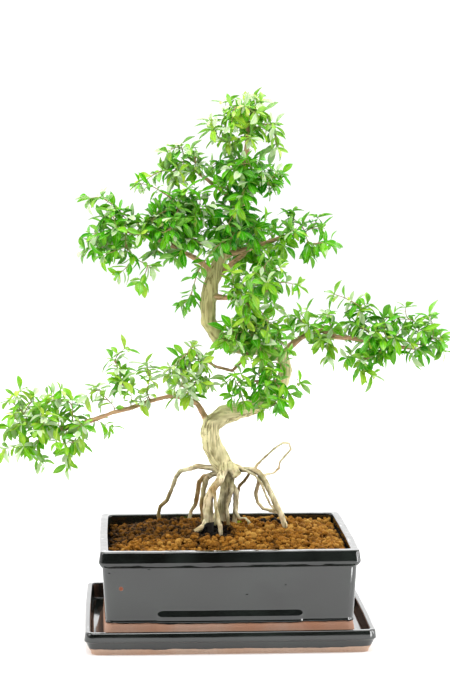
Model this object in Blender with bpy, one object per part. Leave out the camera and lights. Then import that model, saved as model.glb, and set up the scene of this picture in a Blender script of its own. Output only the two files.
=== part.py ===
"""An exposed-root bonsai tree in a glazed stoneware pot, standing on its drip tray.

Metres, +X to the right, -Y to the front, +Z up. The origin is the centre of the tray's flat
underside. The tree's points are drawn in millimetres from its foot, where the taproot meets
the soil.
"""

import math

import bmesh
import bpy
from mathutils import Matrix, Vector, noise

MM = 0.001
GAP = 0.3 * MM  # between two pieces that touch
PAST = 4 * MM  # how far a cutter runs past what it cuts

# The pot: the rim's outside, the band under the rim, the wall and the foot.
POT_LENGTH = 284.4 * MM
POT_WIDTH = 219.7 * MM
POT_HEIGHT = 103.5 * MM
POT_CORNER = 7 * MM
POT_BOW = 1 * MM  # how far each side swells out at its middle
RIM_WIDTH = 11 * MM
RIM_HEIGHT = 17.8 * MM
RIM_UPRIGHT = 13 * MM  # the upright upper part of the rim band
RIM_ROUNDING = 1 * MM
RIM_OVERHANG = 3.7 * MM
RIM_STEP = 2.6 * MM  # the small ledge under the rim band
WALL_THICKNESS = 9 * MM
WALL_LEAN = 3.8 * MM  # each wall leans in by this much on its way down
FLOOR_THICKNESS = 6.5 * MM
INSIDE_CORNER = 6 * MM
INSIDE_FILLET = 4 * MM  # where the walls meet the floor
FOOT_BAND = 23.5 * MM  # the bare clay band above the foot's underside
FOOT_INSET = 5.7 * MM
FOOT_HEIGHT = 13.2 * MM
FOOT_THICKNESS = 13 * MM
ARCH_LENGTH = 124 * MM
ARCH_SPLAY = 4 * MM
APRON_LENGTH = 161 * MM  # the panel raised on the wall over the arch, front and back
APRON_HEIGHT = 37.5 * MM
APRON_DEPTH = 2.8 * MM
APRON_SLOPE = 6 * MM  # how wide its sloping edges are, seen from the front
APRON_CORNER = 5 * MM
DRAIN_RADIUS = 8 * MM
DRAIN_SPACING = 120 * MM

# The drip tray is drawn round the pot's foot.
TRAY_CLEARANCE_X = 15.7 * MM
TRAY_CLEARANCE_Y = 13.5 * MM
TRAY_RIM = 5.8 * MM
TRAY_HEIGHT = 25.7 * MM
TRAY_FLOOR = 7 * MM
TRAY_BAND = 10.7 * MM
TRAY_FLARE = 1.4 * MM  # how far the band stands out from the wall under it
TRAY_FOOT_HEIGHT = 6 * MM
TRAY_FOOT_INSET = 7.6 * MM
TRAY_CORNER = 10 * MM
TRAY_INSIDE_CORNER = 5 * MM
TRAY_FILLET = 2 * MM

# The plastic mesh over each drain hole, and the wire clip that holds it.
MESH_PITCH = 7 * MM
MESH_BAR = 1.6 * MM
MESH_CELLS = 4
MESH_THICKNESS = 1.2 * MM
CLIP_RADIUS = 0.8 * MM
CLIP_BEND = 1.6 * MM
CLIP_FOOT = 8 * MM

# The soil: its level along the walls, its crown and its fall from right to left.
SOIL_BELOW_RIM = 7.5 * MM
SOIL_CROWN = 3.7 * MM
SOIL_FALL = 3.5 * MM

# The tree.
TREE_X = -3 * MM
TREE_Y = 20 * MM
TREE_LIFT = 2.5 * MM  # height of the tree's foot over the soil's crown
DRAWN_HEIGHT = 452 * MM
TREE_HEIGHT = 452 * MM  # from the foot to the leader's tip
LIMB_GIRTH = 1.0  # all limbs together, thicker or thinner
SOCKET_GAP = 0.35 * MM  # clear space round a limb in soil and foliage

POT_BASE = TRAY_FLOOR + GAP
POT_TOP = POT_BASE + POT_HEIGHT
POT_UNDERSIDE = POT_BASE + FOOT_HEIGHT
POT_INSIDE = POT_UNDERSIDE + FLOOR_THICKNESS
SOIL_TOP = POT_TOP + SOIL_CROWN
TREE_FOOT = Vector((TREE_X, TREE_Y, SOIL_TOP + TREE_LIFT))
TREE_SCALE = TREE_HEIGHT / DRAWN_HEIGHT

# Each limb: the sides of its tube, then its points (x, y, z, radius) in millimetres.
TRUNK_SIDES = 10
TRUNK = [
    (-6, 0, -22, 7.3), (-1, 0, 8, 7.0), (6, 0, 37, 6.7), (5, 0, 60, 10), (-3, -2, 74, 11.2),
    (-11, -3, 89, 10.8), (-14, -4, 103, 10.4), (-11, -3, 113, 10.5), (1, 0, 122.6, 10.4), (17, 4, 126, 9.2),
    (38, 8, 131, 8.2), (55, 12, 142, 7.6), (68, 15, 155, 7.4), (74, 16, 171, 7.2), (69, 14, 187, 7.2),
    (55, 12, 195, 7.4), (32, 8, 198, 7.6), (12, 4, 201, 7.8), (-4, 1, 211, 8.2), (-15, -1, 229, 8.3),
    (-16, -1, 250, 8.4), (-13, 0, 269, 7.8), (-8, 2, 287, 6.7), (1, 4, 307, 5.8), (13, 5, 329, 5.1),
    (21, 4, 354, 4.5), (27, 2, 379, 3.8), (26, 0, 405, 3.1), (28, -2, 429, 2.5), (29, -3, 452, 1.6),
]
LIMBS = {
    "root_far_left": (6, [
        (0, 0, 62, 3.8), (-12, 2, 62, 3.1), (-27, 5, 64, 2.6), (-36, 9, 60, 2.4), (-46, 14, 57, 2.4),
        (-51, 18, 50, 2.2), (-55, 22, 37, 2.1), (-61, 26, 21, 2.0), (-69, 29, 13, 2.0), (-71, 31, 4, 2.0),
        (-69, 33, -11, 1.8), (-68, 34, -24, 1.4),
    ]),
    "root_back_left": (6, [
        (1, 4, 56, 3.4), (-10, 12, 53, 2.5), (-19, 22, 49, 2.4), (-24, 30, 41, 2.4), (-26, 36, 26, 2.3),
        (-28, 40, 13, 2.3), (-33, 44, 4, 2.2), (-36, 46, -9, 1.7),
    ]),
    "root_left_prop": (6, [
        (0, 2, 59, 3.4), (-11, 5, 54, 2.9), (-17, 10, 48, 2.8), (-20, 14, 35, 2.6), (-22, 17, 16, 2.6),
        (-20, 18, 1, 2.5), (-20, 18, -17, 2.0),
    ]),
    "root_front": (8, [
        (2, -6, 70, 5.0), (2, -13, 61, 4.2), (-4, -20, 51, 3.9), (-12, -25, 42, 4.2), (-16, -28, 32, 4.9),
        (-17, -30, 20, 5.3), (-16, -31, 9, 5.1), (-15, -32, -4, 3.9), (-14, -32, -20, 2.4),
    ]),
    "root_front_toe": (6, [
        (-17, -30, 12, 3.3), (-22, -34, 2, 2.9), (-31, -38, -3, 2.6), (-40, -42, -9, 2.0), (-47, -45, -18, 1.3),
    ]),
    "root_front_thin": (6, [
        (-11, -26, 43, 2.0), (-9, -31, 37, 1.8), (-9, -36, 26, 1.6), (-6, -40, 13, 2.1), (-4, -43, 4, 2.4),
        (-3, -45, -5, 1.8), (-2, -46, -18, 1.2),
    ]),
    "root_centre_right": (6, [
        (6, -4, 56, 4.2), (11, -6, 44, 3.2), (16, -6, 36, 3.0), (16, -4, 23, 3.0), (15, -3, 10, 2.8),
        (14, -3, -9, 2.2),
    ]),
    "root_pale_strand": (6, [
        (12, -7, 41, 1.9), (8, -12, 31, 1.8), (5, -15, 22, 1.8), (6, -17, 10, 1.8), (7, -18, -6, 1.3),
    ]),
    "root_right": (8, [
        (5, -1, 68, 4.7), (14, -3, 64, 3.3), (24, -5, 61, 3.0), (34, -7, 61, 3.0), (42, -9, 58, 3.2),
        (48, -11, 49, 3.0), (54, -13, 37, 2.9), (60, -15, 24, 2.9), (66, -17, 13, 2.9), (70, -19, 1, 2.5),
        (73, -20, -14, 1.8),
    ]),
    "root_right_strand": (6, [
        (16, -6, 65, 1.6), (27, -12, 61, 1.3), (37, -14, 56, 1.3), (44, -17, 47, 1.2), (49, -18, 34, 1.2),
        (54, -17, 23, 1.2), (60, -16, 16, 1.3),
    ]),
    "root_hanging_loop": (6, [
        (43, -6, 56, 2.2), (42, 0, 45, 2.0), (39, 3, 32, 1.9), (41, 4, 22, 1.8), (47, 0, 15, 1.8),
        (56, -7, 14, 1.8), (64, -15, 14, 1.8),
    ]),
    "root_back_strut": (6, [
        (32, -4, 59, 1.8), (30, 4, 52, 1.6), (26, 9, 45, 1.6), (21, 14, 39, 1.6), (18, 20, 21, 1.6),
        (17, 22, 3, 1.5), (17, 23, -14, 1.1),
    ]),
    "root_aerial_loop": (6, [
        (36, -8, 61, 1.5), (40, -6, 67, 1.2), (49, -3, 75, 1.1), (60, 1, 84, 1.1), (70, 4, 90, 1.1),
        (77, 6, 89, 1.1), (79, 6, 82, 1.1), (72, 5, 74, 1.1), (66, 2, 68, 1.1), (65, -1, 62, 1.1),
        (59, -5, 57, 1.1), (50, -9, 56, 1.2), (43, -10, 54, 1.4),
    ]),
    "root_surface": (6, [
        (15, -5, 14, 1.8), (20, -12, 6, 1.3), (26, -14, 7, 1.2), (30, -16, 3, 1.1), (32, -17, -6, 0.9),
    ]),
    "old_stub": (8, [(5, -2, 67, 5.6), (11, -8, 63, 5.8), (17, -13, 56, 4.9)]),
    "branch_low_left": (8, [
        (-10, 0, 108, 4.9), (-17, -3, 117, 3.6), (-23, -5, 128.5, 3.3), (-28, -7, 137, 3.1), (-43, -10, 145, 2.7),
        (-61, -13, 146, 2.4), (-81, -17, 142, 2.4), (-102, -21, 135, 2.4), (-121, -25, 131, 2.4),
        (-143, -28, 123, 2.3), (-162, -29, 117, 2.3), (-179, -29, 113, 2.1), (-202, -28, 109, 1.5),
    ]),
    "branch_right": (8, [
        (67, 14, 183, 5.2), (78, 18, 198, 3.8), (92, 21, 209, 3.2), (115, 23, 216, 2.8), (131, 24, 208, 2.8),
        (148, 25, 207, 2.6), (171, 26, 203, 2.4), (196, 27, 197, 2.1), (223, 27, 194, 1.6),
    ]),
    "branch_upper_left": (6, [
        (-11, 2, 277, 4.5), (-18, -2, 292, 3.1), (-29, -6, 300, 2.8), (-43, -9, 308, 2.6), (-61, -12, 318, 2.3),
        (-83, -15, 326, 2.1), (-107, -17, 332, 1.7),
    ]),
    "branch_top_left": (6, [
        (20, 4, 352, 3.8), (7, 10, 370, 2.6), (-11, 16, 384, 2.2), (-28, 20, 397, 1.9), (-42, 22, 404, 1.4),
    ]),
    "branch_upper_right": (6, [
        (0, 4, 303, 4.5), (18, 8, 307, 3.2), (41, 12, 314, 2.8), (66, 15, 322, 2.4), (96, 16, 326, 1.6),
    ]),
    "branch_mid_right": (6, [
        (-14, -2, 258, 4.7), (0, -7, 257, 3.0), (13, -12, 257, 2.7), (30, -17, 259, 2.3), (50, -21, 266, 1.7),
    ]),
    "branch_low_front": (6, [
        (71, 14, 163, 4.5), (65, 4, 161, 2.9), (56, -7, 161, 2.6), (46, -17, 163, 2.1), (35, -25, 165, 1.4),
    ]),
    "branch_back": (6, [
        (-11, 0, 271, 4.5), (1, 14, 284, 3.4), (15, 28, 294, 2.9), (27, 42, 302, 2.5), (35, 55, 308, 1.7),
    ]),
    "branch_low_centre": (6, [
        (35, 8, 197, 3.4), (23, -4, 186, 2.2), (11, -14, 175, 1.9), (-7, -17, 180, 1.7), (-25, -18, 190, 1.4),
        (-38, -19, 199, 1.2),
    ]),
    "branch_mid_low": (6, [(30, 8, 199, 3.4), (31, -4, 208, 2.4), (33, -16, 216, 1.6)]),
}

# Each foliage pad: its centre and its half sizes, in millimetres.
PADS = {
    "foliage_crown": ((24, -2, 449), (42, 31, 32)),
    "foliage_upper_centre": ((27, 2, 392), (44, 31, 29)),
    "foliage_upper_left": ((-40, 24, 405), (32, 27, 27)),
    "foliage_left_tip": ((-119, -17, 329), (37, 31, 38)),
    "foliage_left_inner": ((-54, -10, 335), (32, 28, 38)),
    "foliage_heart": ((11, -2, 337), (34, 30, 32)),
    "foliage_upper_right": ((93, 16, 325), (43, 30, 32)),
    "foliage_back": ((35, 60, 310), (42, 28, 36)),
    "foliage_centre": ((44, -22, 273), (43, 28, 34)),
    "foliage_below_centre": ((33, -17, 219), (38, 27, 26)),
    "foliage_right_inner": ((108, 22, 221), (33, 25, 26)),
    "foliage_right_middle": ((175, 26, 208), (40, 29, 38)),
    "foliage_right_tip": ((235, 27, 200), (30, 24, 30)),
    "foliage_lower_front": ((44, -22, 163), (45, 28, 31)),
    "foliage_lower_inner": ((-36, -19, 172), (27, 23, 36)),
    "foliage_lower_left": ((-108, -21, 168), (31, 23, 40)),
    "foliage_lower_left_tip": ((-193, -28, 118), (58, 33, 42)),
}
PAD_LUMP = 0.1  # how far a pad's surface rises and falls, as a share of its size
PAD_LUMP_PITCH = 22 * MM
PAD_GAP = 1 * MM  # between two pads that meet


def clear_scene():
    for item in list(bpy.data.objects):
        bpy.data.objects.remove(item, do_unlink=True)


def material(name, colour, roughness, metallic=0.0):
    finish = bpy.data.materials.new(name)
    finish.use_nodes = True
    shader = finish.node_tree.nodes["Principled BSDF"]
    shader.inputs["Base Color"].default_value = (*colour, 1)
    shader.inputs["Roughness"].default_value = roughness
    shader.inputs["Metallic"].default_value = metallic
    return finish


def object_from(bm, name, finish=None):
    """Close the bmesh into a new object whose faces point out."""
    bmesh.ops.recalc_face_normals(bm, faces=bm.faces[:])
    mesh = bpy.data.meshes.new(name)
    bm.to_mesh(mesh)
    bm.free()
    item = bpy.data.objects.new(name, mesh)
    bpy.context.scene.collection.objects.link(item)
    if finish:
        mesh.materials.append(finish)
    return item


def as_cutter(item):
    item.hide_render = True
    item.display_type = "WIRE"
    return item


def boolean(target, operation, tool):
    """Join or cut the target with one object or with a collection of them."""
    step = target.modifiers.new(operation.lower(), "BOOLEAN")
    step.operation = operation
    step.solver = "EXACT"
    if isinstance(tool, bpy.types.Collection):
        step.operand_type = "COLLECTION"
        step.collection = tool
    else:
        step.object = tool


def smooth(item, degrees=35):
    item.data.shade_smooth()
    item.data.set_sharp_from_angle(angle=math.radians(degrees))


def ring(length, width, height, corner, bow):
    """The points of a rounded rectangle whose four sides swell out by the bow."""
    half = Vector((length / 2 - corner, width / 2 - corner))
    points = []
    for quarter in range(4):
        turn = Matrix.Rotation(quarter * math.pi / 2, 2)
        reach = half if quarter % 2 == 0 else half.yx
        for step in range(4):
            angle = step * math.pi / 6
            points.append(turn @ (reach + corner * Vector((math.cos(angle), math.sin(angle)))))
        for share in (0.15, 0.35, 0.5, 0.65, 0.85):
            swell = bow * (1 - (2 * share - 1) ** 2)
            points.append(turn @ Vector((reach.x * (1 - 2 * share), reach.y + corner + swell)))
    return [(point.x, point.y, height) for point in points]


def loft(name, levels, finish=None):
    """Extrude a first level's face through all the others, which leaves a closed skin."""
    bm = bmesh.new()
    first = bm.faces.new([bm.verts.new(point) for point in ring(*levels[0])])
    face = first
    for level in levels[1:]:
        grown = bmesh.ops.extrude_face_region(bm, geom=[face])
        if face != first:
            bmesh.ops.delete(bm, geom=[face], context="FACES_ONLY")
        face = next(part for part in grown["geom"] if isinstance(part, bmesh.types.BMFace))
        for vert, point in zip(face.verts, ring(*level)):
            vert.co = point
    return object_from(bm, name, finish)


def box(name, length, width, low, high, centre=(0, 0)):
    bm = bmesh.new()
    place = Matrix.Translation((*centre, (low + high) / 2))
    bmesh.ops.create_cube(bm, size=1, matrix=place @ Matrix.Diagonal((length, width, high - low, 1)))
    return as_cutter(object_from(bm, name))


def pot_level(inset, height, corner=None, bow=POT_BOW):
    """A level of the pot, set in from the rim's outside."""
    if corner is None:
        corner = max(POT_CORNER - inset / 2, 2 * MM)
    return (POT_LENGTH - 2 * inset, POT_WIDTH - 2 * inset, height, corner, bow)


def wall_inset(height):
    """How far the wall's outside is set in from the rim's, at a height."""
    top = POT_TOP - RIM_HEIGHT
    bottom = POT_BASE + FOOT_BAND
    return RIM_OVERHANG + WALL_LEAN * (top - height) / (top - bottom)


def pot():
    clay_top = POT_BASE + FOOT_BAND
    band_bottom = POT_TOP - RIM_HEIGHT
    fillet_top = POT_INSIDE + INSIDE_FILLET
    levels = [
        pot_level(FOOT_INSET, POT_BASE),
        pot_level(FOOT_INSET, POT_UNDERSIDE),
        pot_level(wall_inset(clay_top), clay_top),
        pot_level(wall_inset(band_bottom), band_bottom),
        pot_level(RIM_STEP, band_bottom + RIM_ROUNDING / 2),
        pot_level(0, POT_TOP - RIM_UPRIGHT),
        pot_level(0, POT_TOP - RIM_ROUNDING),
        pot_level(RIM_ROUNDING, POT_TOP),
        pot_level(RIM_WIDTH - RIM_ROUNDING, POT_TOP, INSIDE_CORNER),
        pot_level(RIM_WIDTH, POT_TOP - RIM_ROUNDING, INSIDE_CORNER),
        pot_level(inside_inset(fillet_top), fillet_top, INSIDE_CORNER),
        pot_level(inside_inset(POT_INSIDE) + INSIDE_FILLET, POT_INSIDE, INSIDE_CORNER),
    ]
    body = loft("pot", levels, material("charcoal_glaze", (0.03, 0.033, 0.035), 0.08))
    for side in (-1, 1):
        boolean(body, "UNION", apron(side))
        boolean(body, "DIFFERENCE", drain_hole(side))
    boolean(body, "DIFFERENCE", foot_recess())
    boolean(body, "DIFFERENCE", foot_arches())
    smooth(body)
    return body


def inside_inset(height):
    """How far the pot's inside is set in from the rim's outside, at a height."""
    top = POT_TOP - RIM_ROUNDING
    floor_inset = wall_inset(POT_INSIDE) + WALL_THICKNESS
    share = (top - height) / (top - POT_INSIDE)
    return RIM_WIDTH + (floor_inset - RIM_WIDTH) * share


def foot_recess():
    inset = FOOT_INSET + FOOT_THICKNESS
    low = pot_level(inset, POT_BASE - PAST)
    high = pot_level(inset, POT_UNDERSIDE)
    return as_cutter(loft("foot_recess", [low, high]))


def foot_arches():
    """One low arch right through the foot, front to back, with splayed ends."""
    bm = bmesh.new()
    reach = POT_WIDTH / 2 + POT_BOW + PAST
    splay = ARCH_SPLAY * (FOOT_HEIGHT + PAST) / FOOT_HEIGHT
    corners = [
        (-ARCH_LENGTH / 2 - splay, POT_BASE - PAST),
        (ARCH_LENGTH / 2 + splay, POT_BASE - PAST),
        (ARCH_LENGTH / 2, POT_UNDERSIDE),
        (-ARCH_LENGTH / 2, POT_UNDERSIDE),
    ]
    face = bm.faces.new([bm.verts.new((x, -reach, z)) for x, z in corners])
    grown = bmesh.ops.extrude_face_region(bm, geom=[face])
    moved = [part for part in grown["geom"] if isinstance(part, bmesh.types.BMVert)]
    bmesh.ops.translate(bm, verts=moved, vec=(0, 2 * reach, 0))
    return as_cutter(object_from(bm, "foot_arches"))


def apron(side):
    """The low panel raised on the front (-1) or the back (+1), from the foot to over the arch."""
    top = POT_BASE + APRON_HEIGHT
    face = POT_WIDTH / 2 + POT_BOW - wall_inset(top)
    thick = APRON_DEPTH + PAST
    centre = (0, side * (face + APRON_DEPTH - thick / 2))
    panel = box("apron", APRON_LENGTH, thick, POT_BASE, top, centre)
    bm = bmesh.new()
    bm.from_mesh(panel.data)
    for vert in bm.verts:
        if abs(vert.co.y) > face:
            vert.co.x -= math.copysign(APRON_SLOPE, vert.co.x)
            vert.co.z = min(vert.co.z, top - APRON_SLOPE)
    across = [edge for edge in bm.edges if abs(edge.verts[0].co.y - edge.verts[1].co.y) > thick / 2]
    upper = [edge for edge in across if edge.verts[0].co.z > top - 2 * APRON_SLOPE]
    bmesh.ops.bevel(bm, geom=upper, offset=APRON_CORNER, segments=4, profile=0.5, affect="EDGES", material=-1)
    bm.to_mesh(panel.data)
    bm.free()
    return panel


def drain_hole(side):
    bm = bmesh.new()
    middle = Matrix.Translation((side * DRAIN_SPACING / 2, 0, POT_UNDERSIDE + FLOOR_THICKNESS / 2))
    bmesh.ops.create_cone(
        bm, cap_ends=True, segments=20, radius1=DRAIN_RADIUS, radius2=DRAIN_RADIUS,
        depth=FLOOR_THICKNESS + 2 * PAST, matrix=middle,
    )
    return as_cutter(object_from(bm, "drain_hole"))


def tray():
    inner_x = POT_LENGTH - 2 * FOOT_INSET + 2 * TRAY_CLEARANCE_X
    inner_y = POT_WIDTH - 2 * FOOT_INSET + 2 * TRAY_CLEARANCE_Y
    outer_x = inner_x + 2 * TRAY_RIM
    outer_y = inner_y + 2 * TRAY_RIM
    rounding = RIM_ROUNDING

    def level(inset, height, corner=TRAY_CORNER):
        return (outer_x - 2 * inset, outer_y - 2 * inset, height, corner, POT_BOW)

    band_bottom = TRAY_HEIGHT - TRAY_BAND
    levels = [
        level(TRAY_FOOT_INSET, 0),
        level(TRAY_FOOT_INSET, TRAY_FOOT_HEIGHT * 0.4),
        level(TRAY_FOOT_INSET * 0.6, TRAY_FOOT_HEIGHT),
        level(TRAY_FLARE, band_bottom),
        level(0, band_bottom + rounding),
        level(0, TRAY_HEIGHT - rounding),
        level(rounding, TRAY_HEIGHT),
        level(TRAY_RIM - rounding, TRAY_HEIGHT, TRAY_INSIDE_CORNER + rounding),
        level(TRAY_RIM, TRAY_HEIGHT - rounding, TRAY_INSIDE_CORNER),
        level(TRAY_RIM + TRAY_FILLET, TRAY_FLOOR + TRAY_FILLET, TRAY_INSIDE_CORNER),
        level(TRAY_RIM + 2 * TRAY_FILLET, TRAY_FLOOR, TRAY_INSIDE_CORNER),
    ]
    body = loft("drip_tray", levels, material("tray_glaze", (0.03, 0.033, 0.035), 0.08))
    smooth(body)
    return body


def drain_mesh(side, name):
    """A square of plastic mesh on the pot's floor, centred over a drain hole."""
    bm = bmesh.new()
    size = MESH_CELLS * MESH_PITCH
    bottom = POT_INSIDE + GAP
    place = Matrix.Translation((side * DRAIN_SPACING / 2, 0, bottom))
    bmesh.ops.create_grid(bm, x_segments=MESH_CELLS, y_segments=MESH_CELLS, size=size / 2, matrix=place)
    cells = bm.faces[:]
    bmesh.ops.inset_individual(bm, faces=cells, thickness=MESH_BAR / 2)
    bmesh.ops.delete(bm, geom=cells, context="FACES_ONLY")
    grown = bmesh.ops.extrude_face_region(bm, geom=bm.faces[:], use_keep_orig=True)
    moved = [part for part in grown["geom"] if isinstance(part, bmesh.types.BMVert)]
    bmesh.ops.translate(bm, verts=moved, vec=(0, 0, MESH_THICKNESS))
    return object_from(bm, name, material("mesh_plastic", (0.02, 0.02, 0.02), 0.5))


def clip_points(side):
    """The clip's wire: over one bar of the mesh, down the hole and out under the floor."""
    over = POT_INSIDE + MESH_THICKNESS + 2 * GAP + CLIP_RADIUS
    under = POT_UNDERSIDE - GAP - CLIP_RADIUS
    leg = MESH_PITCH / 2
    half = [
        (leg - CLIP_BEND, over),
        (leg, over - CLIP_BEND),
        (leg, under + CLIP_BEND),
        (leg + CLIP_BEND, under),
        (leg + CLIP_BEND + CLIP_FOOT, under),
    ]
    profile = [(-x, z) for x, z in reversed(half)] + half
    hole = side * DRAIN_SPACING / 2
    return [(hole + x, MESH_PITCH / 2, z, CLIP_RADIUS) for x, z in profile]


def tube(name, points, sides, finish=None, turns=1):
    """A round tube through (x, y, z, radius) points in metres, with closed ends."""
    curve = bpy.data.curves.new(name, "CURVE")
    curve.dimensions = "3D"
    curve.bevel_depth = 1
    curve.bevel_resolution = sides // 2 - 2
    curve.use_fill_caps = True
    curve.resolution_u = turns
    spline = curve.splines.new("BEZIER")
    spline.bezier_points.add(len(points) - 1)
    for knot, (x, y, z, radius) in zip(spline.bezier_points, points):
        knot.co = (x, y, z)
        knot.radius = radius
        knot.handle_left_type = "AUTO"
        knot.handle_right_type = "AUTO"
    guide = bpy.data.objects.new(name, curve)
    bpy.context.scene.collection.objects.link(guide)
    view = bpy.context.evaluated_depsgraph_get()
    bm = bmesh.new()
    bm.from_mesh(bpy.data.meshes.new_from_object(guide.evaluated_get(view)))
    bpy.data.objects.remove(guide, do_unlink=True)
    bmesh.ops.remove_doubles(bm, verts=bm.verts[:], dist=0.00001)
    return object_from(bm, name, finish)


def mesh_clip(side, name):
    return tube(name, clip_points(side), 6, material("galvanised_wire", (0.5, 0.5, 0.5), 0.4, 1.0))


def mesh_pocket(side):
    """The space that a mesh and its clip take out of the soil's underside."""
    size = MESH_CELLS * MESH_PITCH + 2 * GAP
    top = POT_INSIDE + MESH_THICKNESS + 2 * CLIP_RADIUS + 3 * GAP
    return box("mesh_pocket", size, size, POT_INSIDE - PAST, top, (side * DRAIN_SPACING / 2, 0))


def soil_level(x, y):
    """The soil's surface: a flat crown that falls to the walls, lower on the left."""
    across = min(abs(x) / (POT_LENGTH / 2 - RIM_WIDTH), 1)
    along = min(abs(y) / (POT_WIDTH / 2 - RIM_WIDTH), 1)
    crown = (1 - across**3) * (1 - along**2.4)
    edge = POT_TOP - SOIL_BELOW_RIM
    fall = SOIL_FALL * x / (POT_LENGTH / 2 - RIM_WIDTH)
    return edge + (SOIL_TOP - edge) * crown + fall * (1 - crown)


def soil(limbs):
    """Everything inside the pot below the surface, with sockets for the roots."""
    edge = POT_TOP - SOIL_BELOW_RIM
    floor = POT_INSIDE + GAP
    fillet_top = floor + INSIDE_FILLET

    def level(inset, height, share=0.0):
        return pot_level(inset, height, INSIDE_CORNER, POT_BOW * (1 - share))

    levels = [
        level(inside_inset(POT_INSIDE) + GAP + INSIDE_FILLET, floor),
        level(inside_inset(fillet_top) + GAP, fillet_top),
        level(inside_inset(edge - SOIL_FALL) + GAP, edge),
    ]
    for share in (0.04, 0.1, 0.2, 0.38, 0.62, 0.86):
        levels.append(level(RIM_WIDTH + share * (POT_WIDTH / 2 - RIM_WIDTH), edge, share))
    body = loft("soil", levels, material("akadama_soil", (0.36, 0.17, 0.05), 0.95))
    for vert in body.data.vertices:
        if vert.co.z > edge - GAP:
            vert.co.z = soil_level(vert.co.x, vert.co.y)
    for side in (-1, 1):
        boolean(body, "DIFFERENCE", mesh_pocket(side))
    boolean(body, "DIFFERENCE", limbs)
    smooth(body)
    return body


def tree_points(points, grow=0.0):
    """A limb's points in metres, from the drawing's millimetres; grow widens it all round."""
    placed = []
    for x, y, z, radius in points:
        co = TREE_FOOT + Vector((x, y, z)) * MM * TREE_SCALE
        placed.append((*co, radius * MM * TREE_SCALE * LIMB_GIRTH + grow))
    if grow:
        placed = [longer_end(placed, 1, 0, grow)] + placed[1:-1] + [longer_end(placed, -2, -1, grow)]
    return placed


def longer_end(placed, inner, outer, grow):
    """The outer point, moved along the limb and away from the inner one."""
    near = Vector(placed[inner][:3])
    far = Vector(placed[outer][:3])
    return (*(far + (far - near).normalized() * grow), placed[outer][3])


def limb_clearances():
    """All limbs grown by the socket gap: the cutters for the soil and the foliage."""
    group = bpy.data.collections.new("limb_clearances")
    drawings = {"trunk": (TRUNK_SIDES, TRUNK), **LIMBS}
    for name, (sides, points) in drawings.items():
        cutter = as_cutter(tube("clear_" + name, tree_points(points, SOCKET_GAP), sides))
        bpy.context.scene.collection.objects.unlink(cutter)
        group.objects.link(cutter)
    return group


def tree_wood():
    """Trunk, roots and branches, grown together into one piece of wood."""
    bark = material("bark", (0.45, 0.36, 0.22), 0.85)
    group = bpy.data.collections.new("limbs")
    for name, (sides, points) in LIMBS.items():
        limb = as_cutter(tube(name, tree_points(points), sides))
        bpy.context.scene.collection.objects.unlink(limb)
        group.objects.link(limb)
    wood = tube("tree_wood", tree_points(TRUNK), TRUNK_SIDES, bark)
    boolean(wood, "UNION", group)
    smooth(wood, 60)
    return wood


def pad_shape(drawing):
    """A pad's centre in metres and its half sizes, from the drawing's millimetres."""
    centre, half = drawing
    return TREE_FOOT + Vector(centre) * MM * TREE_SCALE, Vector(half) * MM * TREE_SCALE


def reach(half, way):
    """How far an ellipsoid of these half sizes reaches along a direction."""
    return 1 / Vector([part / size for part, size in zip(way, half)]).length


def trim_towards(bm, shape, other):
    """Cut a pad flat where it meets another one, half the gap short of the meeting plane."""
    centre, half = shape
    away = other[0] - centre
    way = away.normalized()
    own = reach(half, way) * (1 + PAD_LUMP)
    theirs = reach(other[1], way) * (1 + PAD_LUMP)
    if own + theirs + PAD_GAP < away.length:
        return
    face_at = centre + way * (away.length * own / (own + theirs) - PAD_GAP / 2)
    parts = bm.verts[:] + bm.edges[:] + bm.faces[:]
    bmesh.ops.bisect_plane(bm, geom=parts, plane_co=face_at, plane_no=way, clear_outer=True)
    bmesh.ops.holes_fill(bm, edges=[edge for edge in bm.edges if edge.is_boundary])


def foliage_pad(name, limbs, finish):
    """One cloud of leaves: a lumpy ellipsoid, open where the wood runs through it."""
    shape = pad_shape(PADS[name])
    centre, half = shape
    bm = bmesh.new()
    bmesh.ops.create_icosphere(bm, subdivisions=3 if max(PADS[name][1]) > 40 else 2, radius=1)
    for vert in bm.verts:
        arm = Vector([part * size for part, size in zip(vert.co, half)])
        swell = 1 + PAD_LUMP * noise.noise((centre + arm) / PAD_LUMP_PITCH)
        vert.co = centre + arm * swell
    for other in PADS:
        if other != name:
            trim_towards(bm, shape, pad_shape(PADS[other]))
    pad = object_from(bm, name, finish)
    boolean(pad, "DIFFERENCE", limbs)
    return pad


def build():
    clear_scene()
    tray()
    pot()
    for side, word in ((-1, "left"), (1, "right")):
        drain_mesh(side, "drain_mesh_" + word)
        mesh_clip(side, "mesh_clip_" + word)
    limbs = limb_clearances()
    soil(limbs)
    tree_wood()
    leaf = material("leaf_green", (0.08, 0.27, 0.03), 0.4)
    for name in PADS:
        foliage_pad(name, limbs, leaf)


build()
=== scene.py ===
# %% [markdown]
# # A bonsai tree in a glazed pot
#
# The real thing is a young evergreen tree with winding wood, bare stilt roots and small glossy
# leaves. It grows in clay grains in a dark glazed pot, which stands on a drip tray of the same
# glaze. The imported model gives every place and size; this file makes the surfaces.

# %% Load the frame
import math
import random

import bmesh
import bpy
import numpy as np
from mathutils import Matrix, Vector, noise
from mathutils.bvhtree import BVHTree


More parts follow.
